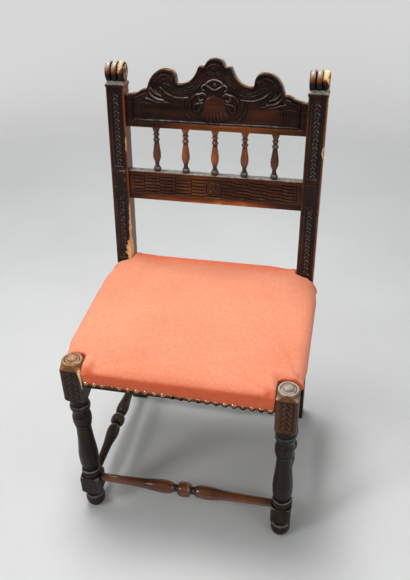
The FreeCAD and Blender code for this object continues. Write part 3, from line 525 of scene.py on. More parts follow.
def front_leg(side, sign):
    stock, z, radius = leg_rows(side)
    theta = leg_angles()
    out = square_turn(theta, radius[:, None])
    x, y = out * np.cos(theta), out * np.sin(theta)
    height = np.repeat(stock[:, None], theta.size, 1)
    dent = leg_panels(x, y, height, sign)
    shrink = 1 - dent / np.maximum(out, 1)
    wobble = 0.18 * np.sin(theta * 3 + z[:, None] / 17) * (radius[:, None] < ROUND_RADIUS)
    x, y = x * shrink + wobble * np.cos(theta), y * shrink + wobble * np.sin(theta)
    grid = np.stack([x + sign * LEG_X, y + LEG_Y, np.repeat(z[:, None], theta.size, 1)], -1)
    raw = np.zeros_like(x)
    if sign < 0:
        # the left leg has lost its skin along the arris next to the seat
        arris = np.hypot(x - LEG_HALF, y + LEG_HALF)
        width = np.interp(height, [396, 402, 430, 446, 456], [0, 2.5, 4.5, 8.0, 5.0])
        raw = np.clip((width - arris) / 2, 0, 1)
    cap, rim, block = LEG_WARMTH[side]
    warm = np.where(height > RIM_FOOT, rim, block * (height > BLOCK_FOOT))
    warm = np.where(height > CAP_FOOT, cap, warm)
    marks = {"wear": leg_wear(side, out, radius, dent, height), "raw": raw, "warm": warm}
    leg = tube("front_leg_mesh_" + side, grid, marks, leg_wood)
    return place(leg, "stained_wood", "front_leg_" + side)


# rear posts, in millimetres along the lean from the knee and across from the post's own axis

ARC = 1.6
PER_FRONT, PER_SIDE, PER_REAR = 52, 12, 14
VINE_RUNS = ((8.0, 178.0), (250.0, 424.0))
VINE_HALF = 12.0
BOX_HALF, BOX_RUN, BOX_REACH = 11.0, 212.0, 26.0
CUT_LINES = (180.5, 184.0, 240.5, 244.5)
FALL = math.tan(RAKE / 2) * POST_DEPTH
# width of the split along each post's right arris, over the run
SPLIT = {"left": ([0, 12, 34, 50, 60, 80, 104, 122, 150, 165, 284, 292, 318, 326],
                  [8.0, 14.0, 14.5, 12.0, 6.5, 5.0, 4.6, 2.6, 1.6, 0, 0, 2.4, 2.0, 0]),
         "right": ([296, 302, 312, 322, 330], [0, 1.2, 4.0, 2.2, 0])}
# height over the collar's foot, how far it stands out, and its wear mark, which is painted light: the tops
# of the collar light, and painted shade on the face below the ledge and on the neck under the roll
COLLAR_ROWS = [(0, 0, -0.5), (0.3, 1.1, -0.5), (1.0, 1.6, -0.5), (5.6, 1.7, 1), (6.6, 1.3, 1),
               (13.0, -3.6, 1), (13.6, -4.6, -0.5), (19.0, -4.8, -0.5), (30.0, -4.8, -0.5)]


def box_gap(across, run):
    """How far a point lies outside the plain box in the middle of a post's front."""
    return np.maximum(np.abs(across) - BOX_HALF, np.abs(run - BOX_RUN) - BOX_REACH)


def post_relief(across, run):
    """Depth of the carving on a post's front face."""
    cut = np.zeros_like(across)
    for low, high in VINE_RUNS:
        edge = np.minimum(VINE_HALF - np.abs(across), np.minimum(run - low, high - run))
        ground = 1.7 * np.clip(edge / 1.3, 0, 1)
        cut = np.where(edge > 0, np.clip(ground - vine(across, run - low), 0.0, 3), cut)
    cut = np.maximum(cut, 1.3 * np.exp(-(box_gap(across, run) / 1.1)**2))
    for line in CUT_LINES:
        cut = np.maximum(cut, 0.9 * np.exp(-((run - line) / 0.9)**2) * (np.abs(across) < POST_HALF - 1))
    return cut


def post_ring():
    """Section of a post as points across and in depth, its front face first."""
    edge, deep = POST_HALF - ARC, POST_DEPTH - ARC

    def corner(x, depth, start):
        a = np.radians(np.linspace(start, start + 90, 5))[1:-1]
        return x + ARC * np.cos(a), depth + ARC * np.sin(a)

    side = np.linspace(ARC, deep, PER_SIDE)
    front = np.linspace(-edge, edge, PER_FRONT), np.zeros(PER_FRONT)
    right = np.full(PER_SIDE, POST_HALF), side
    rear = np.linspace(edge, -edge, PER_REAR), np.full(PER_REAR, POST_DEPTH)
    left = np.full(PER_SIDE, -POST_HALF), side[::-1]
    return np.concatenate([front, corner(edge, ARC, -90), right, corner(edge, deep, 0), rear,
                           corner(-edge, deep, 90), left, corner(-edge, ARC, 180)], 1)


def post_upright(u, d):
    """The post from the floor to its knee, cut off square to half the lean."""
    low = np.linspace(0, KNEE - 8, 70)[:, None]
    z = low * (1 - FALL / KNEE * d / POST_DEPTH)
    u, d = np.broadcast_to(u, z.shape), np.broadcast_to(d, z.shape)
    return np.stack([u, POST_FACE + d, z], -1)


def post_collar(u, d):
    """Collar and neck under the finial."""
    mid = POST_DEPTH / 2
    rows = []
    for high, out, _ in COLLAR_ROWS:
        deep_out = out if out > -1 else out * 1.4
        rows.append(back(u * (1 + out / POST_HALF), mid + (d - mid) * (1 + deep_out / mid),
                         np.full(len(u), COLLAR + high)))
    return np.stack(rows)


def post_split(side, across, depth, run, jitter):
    """Where the arris is broken off, how far its skin lies back there, and how raw it looks."""
    bite = np.interp(run, *SPLIT[side]) * (1 + 0.22 * jitter)
    gap = np.hypot(POST_HALF - across, depth) - bite
    here = (bite > 0.4) & (depth < POST_DEPTH / 2)
    broken = (gap < 0) & here
    push = 0.7 * np.where(broken, np.minimum(-gap * 0.6, 4.5), 0)
    return broken, push, np.clip((1.2 - gap) / 1.5, 0, 1) * here


def stacked(zones, *parts):
    """One mark for zones of rows that lie on top of each other."""
    return np.concatenate([np.broadcast_to(part, zone.shape[:2]) for part, zone in zip(parts, zones)])


def rear_post(side, sign):
    u, d = post_ring()
    is_front = np.arange(len(u)) < PER_FRONT
    run = np.concatenate([[0.0], np.arange(3.5, COLLAR, 0.9), [COLLAR - 0.05]])[:, None]
    jitter = np.interp(run[:, 0], np.arange(-5, 460, 4.0), rng.normal(0, 1, 117))[:, None]
    across, depth = np.repeat([u], len(run), 0), np.repeat([d], len(run), 0)
    cut = np.where(is_front, post_relief(across, run), 0)
    broken, push, raw = post_split(side, across, depth, run, jitter)
    across = across - push
    runs = np.maximum(run, FALL * depth / POST_DEPTH)
    zones = [post_upright(u, d), back(across, depth + cut * ~broken + push, runs), post_collar(u, d)]
    # wear and warmth along the two front arrises
    to_arris = np.abs(np.abs(u) - POST_HALF) + np.abs(d)
    arris = 0.5 * (to_arris < 3.2)
    wear = wear_of(-cut, 2, 1.3) + arris * (0.75 + 0.3 * jitter)
    warm_row = 0.9 * np.clip(1 - to_arris / 4.5, 0, 1) * np.where(u > 0, 1.0, 0.3)
    warm_row = warm_row + 0.4 * (u > POST_HALF - 0.5) * (sign < 0)
    # painted highlight along the groove round the left post's plain box, drawn as rubbed, bare wood
    lit = np.clip(0.9 - np.abs(box_gap(across, run) - 1.2) / 1.1, 0, 1) * is_front
    lit = lit * ((across > 0) | (run < 200)) * (sign < 0)
    collar_light_and_shade = np.array([row[2] for row in COLLAR_ROWS])[:, None]
    marks = {"wear": stacked(zones, 0.8 * arris, wear + 0.5 * lit, collar_light_and_shade),
             "raw": stacked(zones, 0, raw + 0.62 * lit, 0),
             "warm": stacked(zones, 0.15 * warm_row, warm_row * (1 - 0.8 * raw), warm_row)}
    grid = np.concatenate(zones) + np.array([sign * POST_X, 0, 0])
    place(tube("rear_post_mesh_" + side, grid, marks, wood_z), "stained_wood", "rear_post_" + side)
    place(scroll(side, sign), "stained_wood")


# finials: three rolls side by side, each (share of its width, radius in millimetres)

LOBE_SHARES = [(0.00, 17.0), (0.05, 19.5), (0.14, 22.2), (0.28, 23.6), (0.5, 24.0), (0.72, 23.6),
               (0.86, 22.2), (0.95, 19.5), (1.00, 17.0)]
END_RADII = [0.5, 3, 6, 9, 12, 15]
ROLL_WIDE, LOBES, PER_ROLL = 44.0, 3, 96


def scroll(side, sign):
    """The finial's rolls, with a spiral cut in both ends and the skin broken on the outer roll."""
    lobe = ROLL_WIDE / LOBES
    rows = [(0.0, r) for r in END_RADII]
    for k in range(LOBES):
        rows += list(zip(*profile([((share + k) * lobe, r) for share, r in LOBE_SHARES], 0.6)))
    rows += [(ROLL_WIDE, r) for r in END_RADII[::-1]]
    along, radius = np.array(rows).T[:, :, None]
    theta = np.linspace(0, math.tau, PER_ROLL, endpoint=False)[None, :]
    r, x = np.repeat(radius, PER_ROLL, 1), np.repeat(along, PER_ROLL, 1)
    flat = np.minimum(x, ROLL_WIDE - x) < 0.01
    outer = x > ROLL_WIDE / 2
    spiral = np.cos((r / 7.0) * math.tau + np.where(outer, -1, 1) * theta)
    push = np.where(flat & (r > 1), 0.9 * (spiral > 0.35) + 0.2, 0)
    x = x + np.where(outer, -push, push)
    wear = np.clip((r - 21.8) / 2.0, -1.5, 0.35) + np.where(flat, 1.0 + 0.5 * (spiral < 0), 0)
    # painted light: the tops of the rolls lighter and their undersides in painted shade
    above = np.clip(2.6 * np.sin(theta) - 0.5 * np.cos(theta) - 1.0, -1.3, 0.9)
    wear = wear + above * np.clip((r - 18) / 5, 0, 1)
    if sign > 0:
        chip = along > ROLL_WIDE * 0.66
        lumps = sum(np.sin(k * theta + k * k + x / (3 + k)) / k for k in range(2, 8))
        raw = np.where(chip, np.clip(0.66 + 0.3 * np.sin(theta + 0.4) + 0.4 * lumps, 0, 1), 0)
        r = np.where(chip, r - 1.8 - 1.5 * np.abs(lumps), r)
    else:
        chip = (along > ROLL_WIDE * 0.7) & (along < ROLL_WIDE * 0.97) & (np.cos(theta) < 0.4)
        lumps = sum(np.sin(k * theta + 2 * k + x / (4 + k)) / k for k in range(2, 7))
        raw = np.where(chip, np.clip(0.36 + 0.4 * lumps, 0, 1), np.where(flat & outer, 0.45, 0))
        r = np.where(chip, r - 0.8 * np.abs(lumps), r)
    grid = back(x - ROLL_WIDE / 2 + sign * POST_X, POST_DEPTH / 2 + r * np.cos(theta),
                ROLL_RUN + r * np.sin(theta))
    warm = np.where(r > 19, 0.4 * np.exp(-((theta - 2.9) / 0.45)**2), 0.35)
    return tube("scroll_" + side, grid, {"wear": wear, "raw": raw, "warm": warm}, wood_z)


# carved boards of the back: rows of points up the face, over the crown, down the back, under the foot

CELL, FACE_SOFT, SOFT_REACH = 0.9, 1.1, 1.6
CROWN_SHARES = np.array([0.04, 0.1, 0.25, 0.5, 0.75, 0.9, 0.96])
FOOT_SHARES = np.linspace(0.94, 0.06, 5)
REAR_ROWS = 14


def board(name, node, xs, top, low, relief_of, marks_of, crown_wear_and_highlight, crown_warm):
    """A board across the back: relief on its face, rounded rims, plain back."""
    X, high = xs[:, None], top[:, None]
    Z = low + (high - low) * np.linspace(0, 1, int(np.max(top - low) / CELL))
    X_face = np.repeat(X, Z.shape[1], 1)
    height = relief_of(X_face, Z)
    rim = np.minimum(Z - low, high - Z)
    soft = FACE_SOFT * (1 - np.sqrt(np.clip(1 - (1 - np.clip(rim / SOFT_REACH, 0, 1))**2, 0, 1)))
    rear = RAIL_FACE + RAIL_THICK
    grid = np.concatenate([
        back(X, RAIL_FACE - height + soft, Z),
        back(X, RAIL_FACE + 0.6 + RAIL_THICK * CROWN_SHARES * 0.975,
             high - 0.35 + 0.35 * np.sin(CROWN_SHARES * math.pi)),
        back(X, rear, low + (high - low) * np.linspace(1, 0, REAR_ROWS)),
        back(X, RAIL_FACE + RAIL_THICK * FOOT_SHARES, low + 0.05)], 1)
    wear, warm, raw = marks_of(X_face, Z, height, rim)

    def with_rest(face, crown, foot):
        rest = list(crown) + [0.0] * REAR_ROWS + [foot] * len(FOOT_SHARES)
        return np.concatenate([face, np.repeat([rest], len(xs), 0)], 1)

    marks = {"wear": with_rest(wear, crown_wear_and_highlight, 0.1), "warm": with_rest(warm, crown_warm, 0.5),
             "raw": with_rest(raw, [0.0] * len(CROWN_SHARES), 0.3)}
    return place(tube(name, grid, marks, wood_x), "stained_wood", node)


# crest rail: half outline as (across, height over its foot), and its mouldings, both mirrored

OUTLINE = [(0, 160), (9, 158.2), (15, 155), (19, 150), (22, 144.5), (24, 142.6), (34, 142.4), (37, 139.5),
           (40, 132), (45, 122.5), (52, 113.5), (60, 107.2), (70, 103.2), (80, 101.6), (87, 103),
           (88.4, 108), (89.6, 117), (94, 126), (102, 131.8), (112, 133.4), (122, 132), (132, 127),
           (142, 118), (150, 105), (154, 94), (156.6, 88), (160, 87.5), (169, 85), (178, 79), (188, 76),
           (198, 74), (208, 72)]
CREST_GROUND, BAND_HIGH, STILE_IN = -3.6, 15.5, 194.0
# each moulding: its points, half width, height, the level it springs from and its taper
CREST_BEADS = [
    # frame along the foot, up the stile and along the top
    ([(0, 11.8), (200, 11.8)], 1.5, 1.4, -0.9, 0),
    ([(189, 17.5), (189.3, 40), (189, 62), (183, 68), (172, 73), (160, 78)], 1.8, 4.2, -3.4, 0),
    # rim that follows the outline
    ([(u, z - 2.2) for u, z in OUTLINE], 2.6, 3.8, -3.4, 0),
    # scroll: outer band, inner bands
    ([(97, 112), (93.5, 117), (95, 124), (103, 129), (112, 130.4), (122, 129), (132, 124), (141, 115.5),
      (148, 104), (151.5, 92), (149, 80), (142, 71), (131, 65.5), (118, 63.5)], 4.6, 4.4, -3.2, 0.35),
    ([(104, 119), (113, 121), (123, 118), (132, 110), (137, 99), (137.5, 88), (133, 79), (124, 73)],
     2.7, 3.2, -3.2, 0.3),
    ([(108, 111), (117, 110), (124, 103), (127, 93), (124, 84)], 2.0, 2.4, -3.0, 0.4),
    # leaf that sweeps from the scroll to the cartouche
    ([(124, 92), (110, 80.5), (98, 75), (84, 71.5), (60, 72.5)], 2.3, 4.0, -3.0, 0.3),
    ([(119, 97), (106, 91), (92, 84), (76, 78)], 1.7, 2.0, -2.2, 0.4),
    ([(116, 101.5), (103, 98), (90, 91), (76, 83)], 1.7, 1.9, -2.2, 0.4),
    # short gouged leaves below the scroll
    ([(147, 90), (141, 83), (133, 76)], 2.6, 4.2, -3.2, 0.5),
    ([(158, 66), (147, 64), (136, 60), (122, 58.5)], 2.6, 4.2, -3.2, 0.5),
    ([(128, 63), (116, 60), (102, 58)], 2.0, 3.0, -3.2, 0.5),
    # line and sprig over the reeded block
    ([(146, 55), (178, 55)], 1.8, 1.8, -3.0, 0),
    ([(164, 62), (172, 64), (180, 62)], 2.0, 2.4, -3.2, 0.3),
    # centre: arch band and its lower curve
    ([(0, 147), (12, 143), (19, 134), (21, 122)], 1.9, 2.8, -3.2, 0),
    ([(0, 135), (5, 138), (9, 145)], 2.4, 3.2, -3.2, 0),
    # brow of the cartouche and its curled lobes
    ([(19, 103), (14, 109), (7, 112.6), (0, 113.8)], 2.8, 4.8, -3.2, 0),
    ([(0, 91.5), (7, 94.5), (14, 99), (21, 102.5), (27, 99.5), (28.5, 93.5), (23.5, 90)],
     2.8, 4.8, -3.2, 0.25),
    ([(20, 80), (26, 84), (33, 80.5), (36.5, 73), (32, 67), (27, 70)], 3.0, 5.0, -3.2, 0.3),
    ([(28, 62), (38, 60.5), (46, 55), (47.5, 46), (40, 41.5), (34.5, 46)], 3.0, 5.0, -3.2, 0.3),
    ([(22, 79), (33, 81.5), (44, 79), (52, 71), (56, 60), (54, 50)], 2.6, 4.6, -3.2, 0.2),
    # outer ring of the cartouche
    ([(72, 68), (71, 55), (68.5, 44), (63, 34), (57, 27)], 2.4, 4.0, -3.2, 0.2)]
# flank mouldings under the centre arch: points of the pattern and how far each next one shifts
FLANK = [((37, 139), (4.2, 1.5)), ((41, 127), (4.0, 2.2)), ((50, 113), (3.4, 3.6)), ((60, 105), (2.4, 4.4)),
         ((72, 100.5), (1.2, 4.6)), ((84, 99.5), (0, 4.4))]
CREST_BEADS += [([(u - k * du, z - k * dz) for (u, z), (du, dz) in FLANK], 1.9, 2.9, -3.2, 0)
                for k in range(1, 5)]
# reeded block near the end
CREST_BEADS += [([(152 + 6.4 * k, 25), (152 + 6.4 * k, 51)], 2.7, 1.7, -3.2, 0) for k in range(4)]
# each boss: its centre, half width, half height, rise and the level it springs from
CREST_DOMES = [
    (103.5, 116.5, 5.4, 5.4, 4.2, -3.4), (66, 91, 7.2, 7.2, 3.0, -3.4), (0, 138, 5.0, 5.0, 3.6, -3.2),
    (10, 128, 8, 5, 2.2, -3.4), (0, 102.5, 4.4, 6.5, 3.6, -3.2), (0, 60, 25, 19, 3.9, -3.2)]
# eyes drilled into two of the bosses: centre, radius and depth
CREST_EYES = [(66, 91, 2.6, 1.6), (0, 138, 2.2, 2.4)]
LEAF_TOP = [(120, 100), (104, 99), (90, 93), (74, 84), (60, 75.5)]
LEAF_LOW = [(122, 92), (110, 82), (98, 76.5), (84, 73.5), (66, 73.5)]
LEAF_LEVEL = -1.7
SHELL_TOP, SHELL_NEAR, SHELL_FAR, SHELL_TURN, SHELL_RIBS = 92.0, 44.0, 71.0, 0.54, 23.5


def between(U, R, upper, lower):
    """Points that lie between two lines, both taken as heights over x."""
    hi, lo = (np.array(sorted(curve(line, 8).tolist())).T for line in (upper, lower))
    return (R < np.interp(U, *hi, left=-9, right=-9)) & (R > np.interp(U, *lo, left=9e9, right=9e9))


def crest_relief(X, Z):
    """Height of the carving over the crest's face."""
    U, R = np.abs(X), Z - CREST_RUN
    H = np.where(R < BAND_HIGH, 0.0, CREST_GROUND)
    H = np.where(U > STILE_IN, np.maximum(H, -0.4), H)
    bead(H, U, R, [(0, 17.5), (189, 17.5)], 1.7, 4.3, -3.4)
    H[(R > 13.0) & (R < 15.6) & (U < 200)] = -1.5
    for points, width, high, base, taper in CREST_BEADS:
        bead(H, U, R, points, width, high, base, taper)
    for boss in CREST_DOMES:
        dome(H, U, R, *boss)
    inside = between(U, R, LEAF_TOP, LEAF_LOW)
    H[inside] = np.maximum(H[inside], LEAF_LEVEL)
    for x, z, radius, deep in CREST_EYES:
        H[np.hypot(U - x, R - z) < radius] -= deep
    # shell of fanned flutes under the boss
    far, turn = np.hypot(X, SHELL_TOP - R), np.arctan2(X, SHELL_TOP - R)
    ribs = np.abs(np.cos(turn * SHELL_RIBS))
    shell = ((far > SHELL_NEAR) & (far < SHELL_FAR + 1.6 * ribs) & (np.abs(turn) < SHELL_TURN)
             & (R > 19.5))
    H[shell] = np.maximum(H, -2.9 + 3.2 * np.sqrt(ribs))[shell]
    # tooled ground, and a limit where relief stands over the face
    H = H + np.where(H < -3.0, 0.25 * np.sin(X * 2.1) * np.sin(Z * 2.3), 0)
    return np.minimum(H, 1.4)


# where the crest's carving is rubbed and carries painted highlights: centre, half width, half height and
# how much
CREST_RUBBED_AND_LIT = [(92, 78, 34, 12, 0.75), (10, 103, 22, 14, 0.7), (30, 74, 12, 16, 0.75),
                (0, 16, 210, 5, 0.15), (48, 112, 26, 24, 0.5)]
CREST_LEAVES = (140, 72, 22, 18)


def spot_at(U, R, x, z, wide, high):
    """A soft-edged patch that is 1 at its centre."""
    return np.exp(-((U - x) / wide)**4 - ((R - z) / high)**4)


def crest_marks(X, Z, height, rim):
    R, U = Z - CREST_RUN, np.abs(X)
    # how much of the wear and its painted highlight shows, most on the leaves
    shown = 0.35 + 0.7 * spot_at(U, R, *CREST_LEAVES) * np.where(X < 0, 1, 0.6)
    for *area, much in CREST_RUBBED_AND_LIT:
        shown = shown + much * spot_at(U, R, *area)
    wear = wear_of(height, 3, 0.55)
    wear = np.where(wear > 0, wear * np.clip(shown, 0, 1.1), wear)
    wear = np.where(rim < 2.0, np.maximum(wear, 0.3), wear)
    warm = 0.14 * np.clip(1.4 - np.hypot(X / 30, (R - 50) / 20), 0, 1)
    warm = np.maximum(warm, np.where(R < 15, 0.65 * np.exp(-((X - 20) / 120)**2), 0))
    warm = np.maximum(warm, 0.25 * np.exp(-((X - 110) / 30)**2 - ((R - 42) / 14)**2))
    return wear, warm, np.zeros_like(X)


def crest():
    # columns are closer where the outline drops steeply
    steep = np.concatenate([np.linspace(86, 92, 16), np.linspace(152, 158, 8), [INNER]])
    xs = np.unique(np.concatenate([np.arange(-INNER, INNER + 0.01, 0.85), steep, -steep]))
    top = np.interp(np.abs(xs), *profile(OUTLINE, 0.5)) + CREST_RUN
    # crown rows: wear on the front arris, and a painted highlight along the back arris where light from
    # behind catches it
    return board("crest_mesh", "crest_rail", xs, top, CREST_RUN, crest_relief, crest_marks,
                 [0.6, 0.3, 0.2, 0.7, 1.2, 1.4, 1.4], [0.1, 0.1, 0.1, 0.15, 0.3, 0.45, 0.45])


# lower rail: cells of stepped straps on both sides of a rosette

STRAP_FROM, STRAP_TO, STRAP_LOW, STRAP_HIGH = 19.0, 196.0, 17.0, 61.0
STRAP_PITCH, STRAP_LEAD = 38.5, 8.2
ROSETTE_RUN, ROSETTE_RADIUS, ROSETTE_RIM, ROSETTE_EYE = 37.0, 17.0, 15.6, 4.6


def straps(X, U, R):
    """Straps that step down at every cell, linked by short slanting runs and notched."""
    cell = (U - STRAP_FROM) / STRAP_PITCH
    part = cell - np.floor(cell)
    slant = np.where(X < 0, 0.12, 0.42)
    step = np.floor(cell) + np.clip((part - 1 + slant) / slant, 0, 1)
    level = (R - 21 + step * STRAP_LEAD / 2) / STRAP_LEAD
    wave = np.abs((level % 1) - 0.5) * 2
    strap = -2.4 + 2.2 * np.sqrt(np.clip(1 - ((1 - wave) / 0.72)**2, 0, 1))
    notch = np.where(X < 0, 2.4 * np.exp(-((part - 0.94) / 0.035)**2),
                     0.9 * np.exp(-((part - 0.57) / 0.03)**2) + 0.9 * np.exp(-((part - 0.02) / 0.03)**2))
    return strap - notch * (strap > -2.2)


def low_relief(X, Z):
    """Height of the carving over the lower rail's face."""
    R, U = Z - LOW_RUN, np.abs(X)
    H = np.where((R < 14) | (R > 63) | (U > 197), 0.0, -2.6)
    bead(H, U, R, [(0, 15.5), (197, 15.5)], 1.6, 1.8, -1.4)
    bead(H, U, R, [(0, 62), (197, 62)], 1.5, 1.8, -1.4)
    inner = (R > STRAP_LOW) & (R < STRAP_HIGH) & (U > STRAP_FROM) & (U < STRAP_TO)
    H = np.where(inner, straps(X, U, R), H)
    far, turn = np.hypot(X, R - ROSETTE_RUN), np.arctan2(R - ROSETTE_RUN, X)
    petal = -1.8 + 2.4 * np.sqrt(np.abs(np.cos(turn * 4))) * np.clip(1 - ((far - 9) / 8)**2, 0, 1)
    H = np.where(far < ROSETTE_RADIUS, np.maximum(petal, -2.4), H)
    eye = -1.0 + 2.2 * np.sqrt(np.clip(1 - (far / ROSETTE_EYE)**2, 0, 1))
    H = np.where(far < ROSETTE_EYE, eye, H)
    rim = np.sqrt(np.clip(1 - ((far - ROSETTE_RIM) / 1.4)**2, 0, 1))
    return np.where(rim > 0, np.maximum(H, -1.4 + 1.3 * rim), H)


def low_marks(X, Z, height, rim):
    R = Z - LOW_RUN
    wear = wear_of(height, 3, 0.6)
    wear = np.where(wear > 0, wear * 0.55, wear)
    wear = np.where(rim < 1.8, np.maximum(wear, 0.35), wear)
    # an uneven line along the foot, under which the stain has gone
    fade = np.exp(-(np.abs(X + 10) / 150)**4)
    line = 5.0 + 3.0 * np.sin(X / 31) + 1.5 * np.sin(X / 9)
    warm = np.where(R < 14, (0.35 + 0.65 * np.clip((line + 4 - R) / 3, 0, 1)) * fade, 0.12)
    warm = np.maximum(warm, 0.4 * np.exp(-((X + 40) / 45)**2) * (R > 20))
    raw = np.clip((line - 1.0 - R) / 3, 0, 1) * (0.42 * fade + 0.2 * np.exp(-((X - 15) / 45)**2))
    return wear, warm, raw


def lower_rail():
    xs = np.arange(-INNER, INNER + 0.01, 0.9)
    top = np.full(len(xs), LOW_RUN + LOW_HIGH)
    # crown rows: wear and a painted sheen over the whole top face
    return board("lower_rail_mesh", "lower_back_rail", xs, top, LOW_RUN, low_relief, low_marks,
                 [1.0, 0.9] + [0.8] * 5, [0.0] * 7)


# spindles and stretchers: shares of the length and of the radius

SPINDLE_SHARES = [
    (0.0, 0.70), (0.02, 0.86), (0.055, 0.95), (0.09, 0.86), (0.115, 0.66), (0.135, 0.55), (0.16, 0.52),
    (0.20, 0.54), (0.26, 0.78), (0.32, 0.97), (0.38, 1.0), (0.50, 0.84), (0.60, 0.68), (0.68, 0.56),
    (0.688, 0.74), (0.71, 0.80), (0.735, 0.74), (0.748, 0.56), (0.80, 0.58), (0.812, 0.72), (0.83, 0.78),
    (0.848, 0.70), (0.856, 0.57), (0.89, 0.66), (0.94, 0.86), (0.965, 0.93), (1.0, 0.88)]
# half of a stretcher, up to the middle of its ball
STRETCHER_SHARES = [
    (0.0, 0.58), (0.11, 0.60), (0.20, 0.65), (0.27, 0.73), (0.33, 0.90), (0.37, 0.975), (0.40, 0.95),
    (0.425, 0.84), (0.442, 0.60), (0.450, 0.56), (0.460, 0.58), (0.464, 0.86), (0.470, 0.97),
    (0.484, 1.08), (0.5, 1.10)]
SPINDLE_LONG, SPINDLE_RADIUS, STRETCHER_RADIUS = 107.5, 9.6, 16.5
# how honey-coloured the turned work is along its length
SPINDLE_TINTS = ([0, 0.12, 0.17, 0.24, 0.4, 0.58, 0.7, 0.86, 1.0],
                 [0.1, 0.1, 0.1, 0.7, 1.0, 0.85, 0.4, 0.6, 0.9])
STRETCHER_TINTS = ([0, 0.08, 0.18, 0.26, 0.34, 0.41, 0.45, 0.5, 0.56, 0.6, 0.67, 0.76, 0.84, 0.93, 1],
                   [0.6, 1.0, 0.65, 0.45, 0.8, 1.1, 0.2, 1.3, 0.2, 1.0, 0.5, 0.75, 0.95, 0.6, 0.3])
SPINDLE_WARMTH = (0.3, 0.9, 1.0, 0.6, 0.22)


def turned(name, line, radius, point_of, material, count, step, tints, warm, glint=0.0, shade_below=0.0):
    """Round work; point_of turns (along, ring x, ring y) into places in the chair's frame."""
    at, size = profile(line, step)
    theta = np.linspace(0, math.tau, count, endpoint=False)[None, :]
    r = np.repeat(size[:, None] * radius, count, 1)
    r = r * (1 + 0.010 * np.sin(2 * theta + 0.6) + 0.006 * np.sin(5 * theta + at[:, None] / 9))
    grid = point_of(np.repeat(at[:, None], count, 1), r * np.cos(theta), r * np.sin(theta))
    share = (at - at[0]) / (at[-1] - at[0])
    # painted light: a painted glint on the ball foot, and painted shade along the lower side of the piece
    ridge = ridges_of(size, 4, radius * 0.8, 0.55) + glint * np.exp(-((share - 0.075) / 0.03)**2)
    worn_and_painted_light = ridge[:, None] - shade_below * np.clip(0.2 - np.sin(theta), 0, 1)
    tint = warm * np.repeat(np.interp(share, *tints)[:, None], count, 1)
    return tube(name, grid, {"wear": worn_and_painted_light, "warm": tint}, material)


def spindle(number):
    node = "spindle_%d" % number
    x0 = middle(cad_span(node, 0))
    line = [(share * SPINDLE_LONG, out) for share, out in SPINDLE_SHARES]

    def point_of(along, u, v):
        return back(x0 + u, RAIL_FACE + RAIL_THICK / 2 + v, LOW_RUN + LOW_HIGH + along)

    made = turned("spindle_mesh_%d" % number, line, SPINDLE_RADIUS, point_of, turned_z, 56, 0.9,
                  SPINDLE_TINTS, SPINDLE_WARMTH[number - 1], glint=0.8)
    return place(made, "warm_wood", node)


def stretcher(side, material, warm, start, end, shade_below=0.0):
    """A stretcher between two places, along x in front and behind and along y at the sides."""
    node = "stretcher_" + side
    along_x = side in ("front", "back")
    across = middle(cad_span(node, 1 if along_x else 0))
    height = middle(cad_span(node, 2))
    shares = STRETCHER_SHARES + [(1 - share, out) for share, out in STRETCHER_SHARES[-2::-1]]
    line = [(start + share * (end - start), out) for share, out in shares]

    def point_of(along, u, v):
        if along_x:
            return np.stack([along, across + u, height + v], -1)
        return np.stack([across + v, along, height + u], -1)

    made = turned("stretcher_mesh_" + side, line, STRETCHER_RADIUS, point_of, material, 72, 1.2,
                  STRETCHER_TINTS, warm, shade_below=shade_below)
    return place(made, "stained_wood", node)


# stuffed seat, in millimetres

SIDE_X, SEAT_FRONT, SEAT_BACK = 249.5, -244.0, 191.5
CORE_LOW, CORE_TOP = 413.0, 458.0
BAND_LOW = cad_span("seat_cover", 2)[0]
FRONT_SLOPE = 5.0 / 208
UP, SLACK = 446.0, 252.0
BULGE_LEFT, BULGE_RIGHT = 11.5, 6.5
NAIL_PITCH = 18.95
NAIL_X = (np.arange(22) - 10.5) * NAIL_PITCH
# corners of the notches within which the cloth is held
HELD_LEG, HELD_POST = (208.0, -200.0), (207.0, 153.5)
VOXEL, SKIN = 0.0042, 0.0014


def linked_copy(node):
    copy = nodes[node].copy()
    copy.data = nodes[node].data.copy()
    copy.parent = None
    bpy.context.scene.collection.objects.link(copy)
    return copy


def seat_core():
    """Solid middle of the seat, notched for legs and posts, so that remeshing leaves no hollow."""
    knob = [(INNER, SEAT_FRONT), (INNER, -200.0), (SIDE_X, -200.0), (SIDE_X, 153.5), (INNER, 153.5),
            (INNER, SEAT_BACK)]
    plan = [(-INNER, SEAT_FRONT)] + knob + [(-x, y) for x, y in knob[:0:-1]]
    count = len(plan)
    points = [(x, y, z) for z in (CORE_LOW, CORE_TOP) for x, y in plan]
    faces = [list(range(count))[::-1], list(range(count, 2 * count))]
    faces += [[k, (k + 1) % count, (k + 1) % count + count, k + count] for k in range(count)]
    return make("seat_core", points, faces, smooth=False)


def seat():
    """Skin over the CAD seat's form, remeshed and softened where it isn't held."""
    parts = [linked_copy("seat_cover"), linked_copy("seat_stuffing"), seat_core()]
    choose(parts[0])
    for part in parts:
        part.select_set(True)
    bpy.ops.object.join()
    pad = bpy.context.view_layer.objects.active
    pad.name = "seat_cushion"
    even = pad.modifiers.new("even", "REMESH")
    even.mode, even.voxel_size = "VOXEL", VOXEL
    bpy.ops.object.modifier_apply(modifier=even.name)
    add_group(pad, "loose", 1 - hold_seat(points_of(pad)))
    soft = pad.modifiers.new("soften", "SMOOTH")
    soft.factor, soft.iterations, soft.vertex_group = 0.5, 16, "loose"
    bpy.ops.object.modifier_apply(modifier=soft.name)
    return pad


def add_group(piece, name, weights):
    """Vertex group with weights in tenths."""
    group = piece.vertex_groups.new(name=name)
    tenths = np.round(weights * 10)
    for level in range(1, 11):
        group.add(np.nonzero(tenths == level)[0].tolist(), level / 10, "REPLACE")


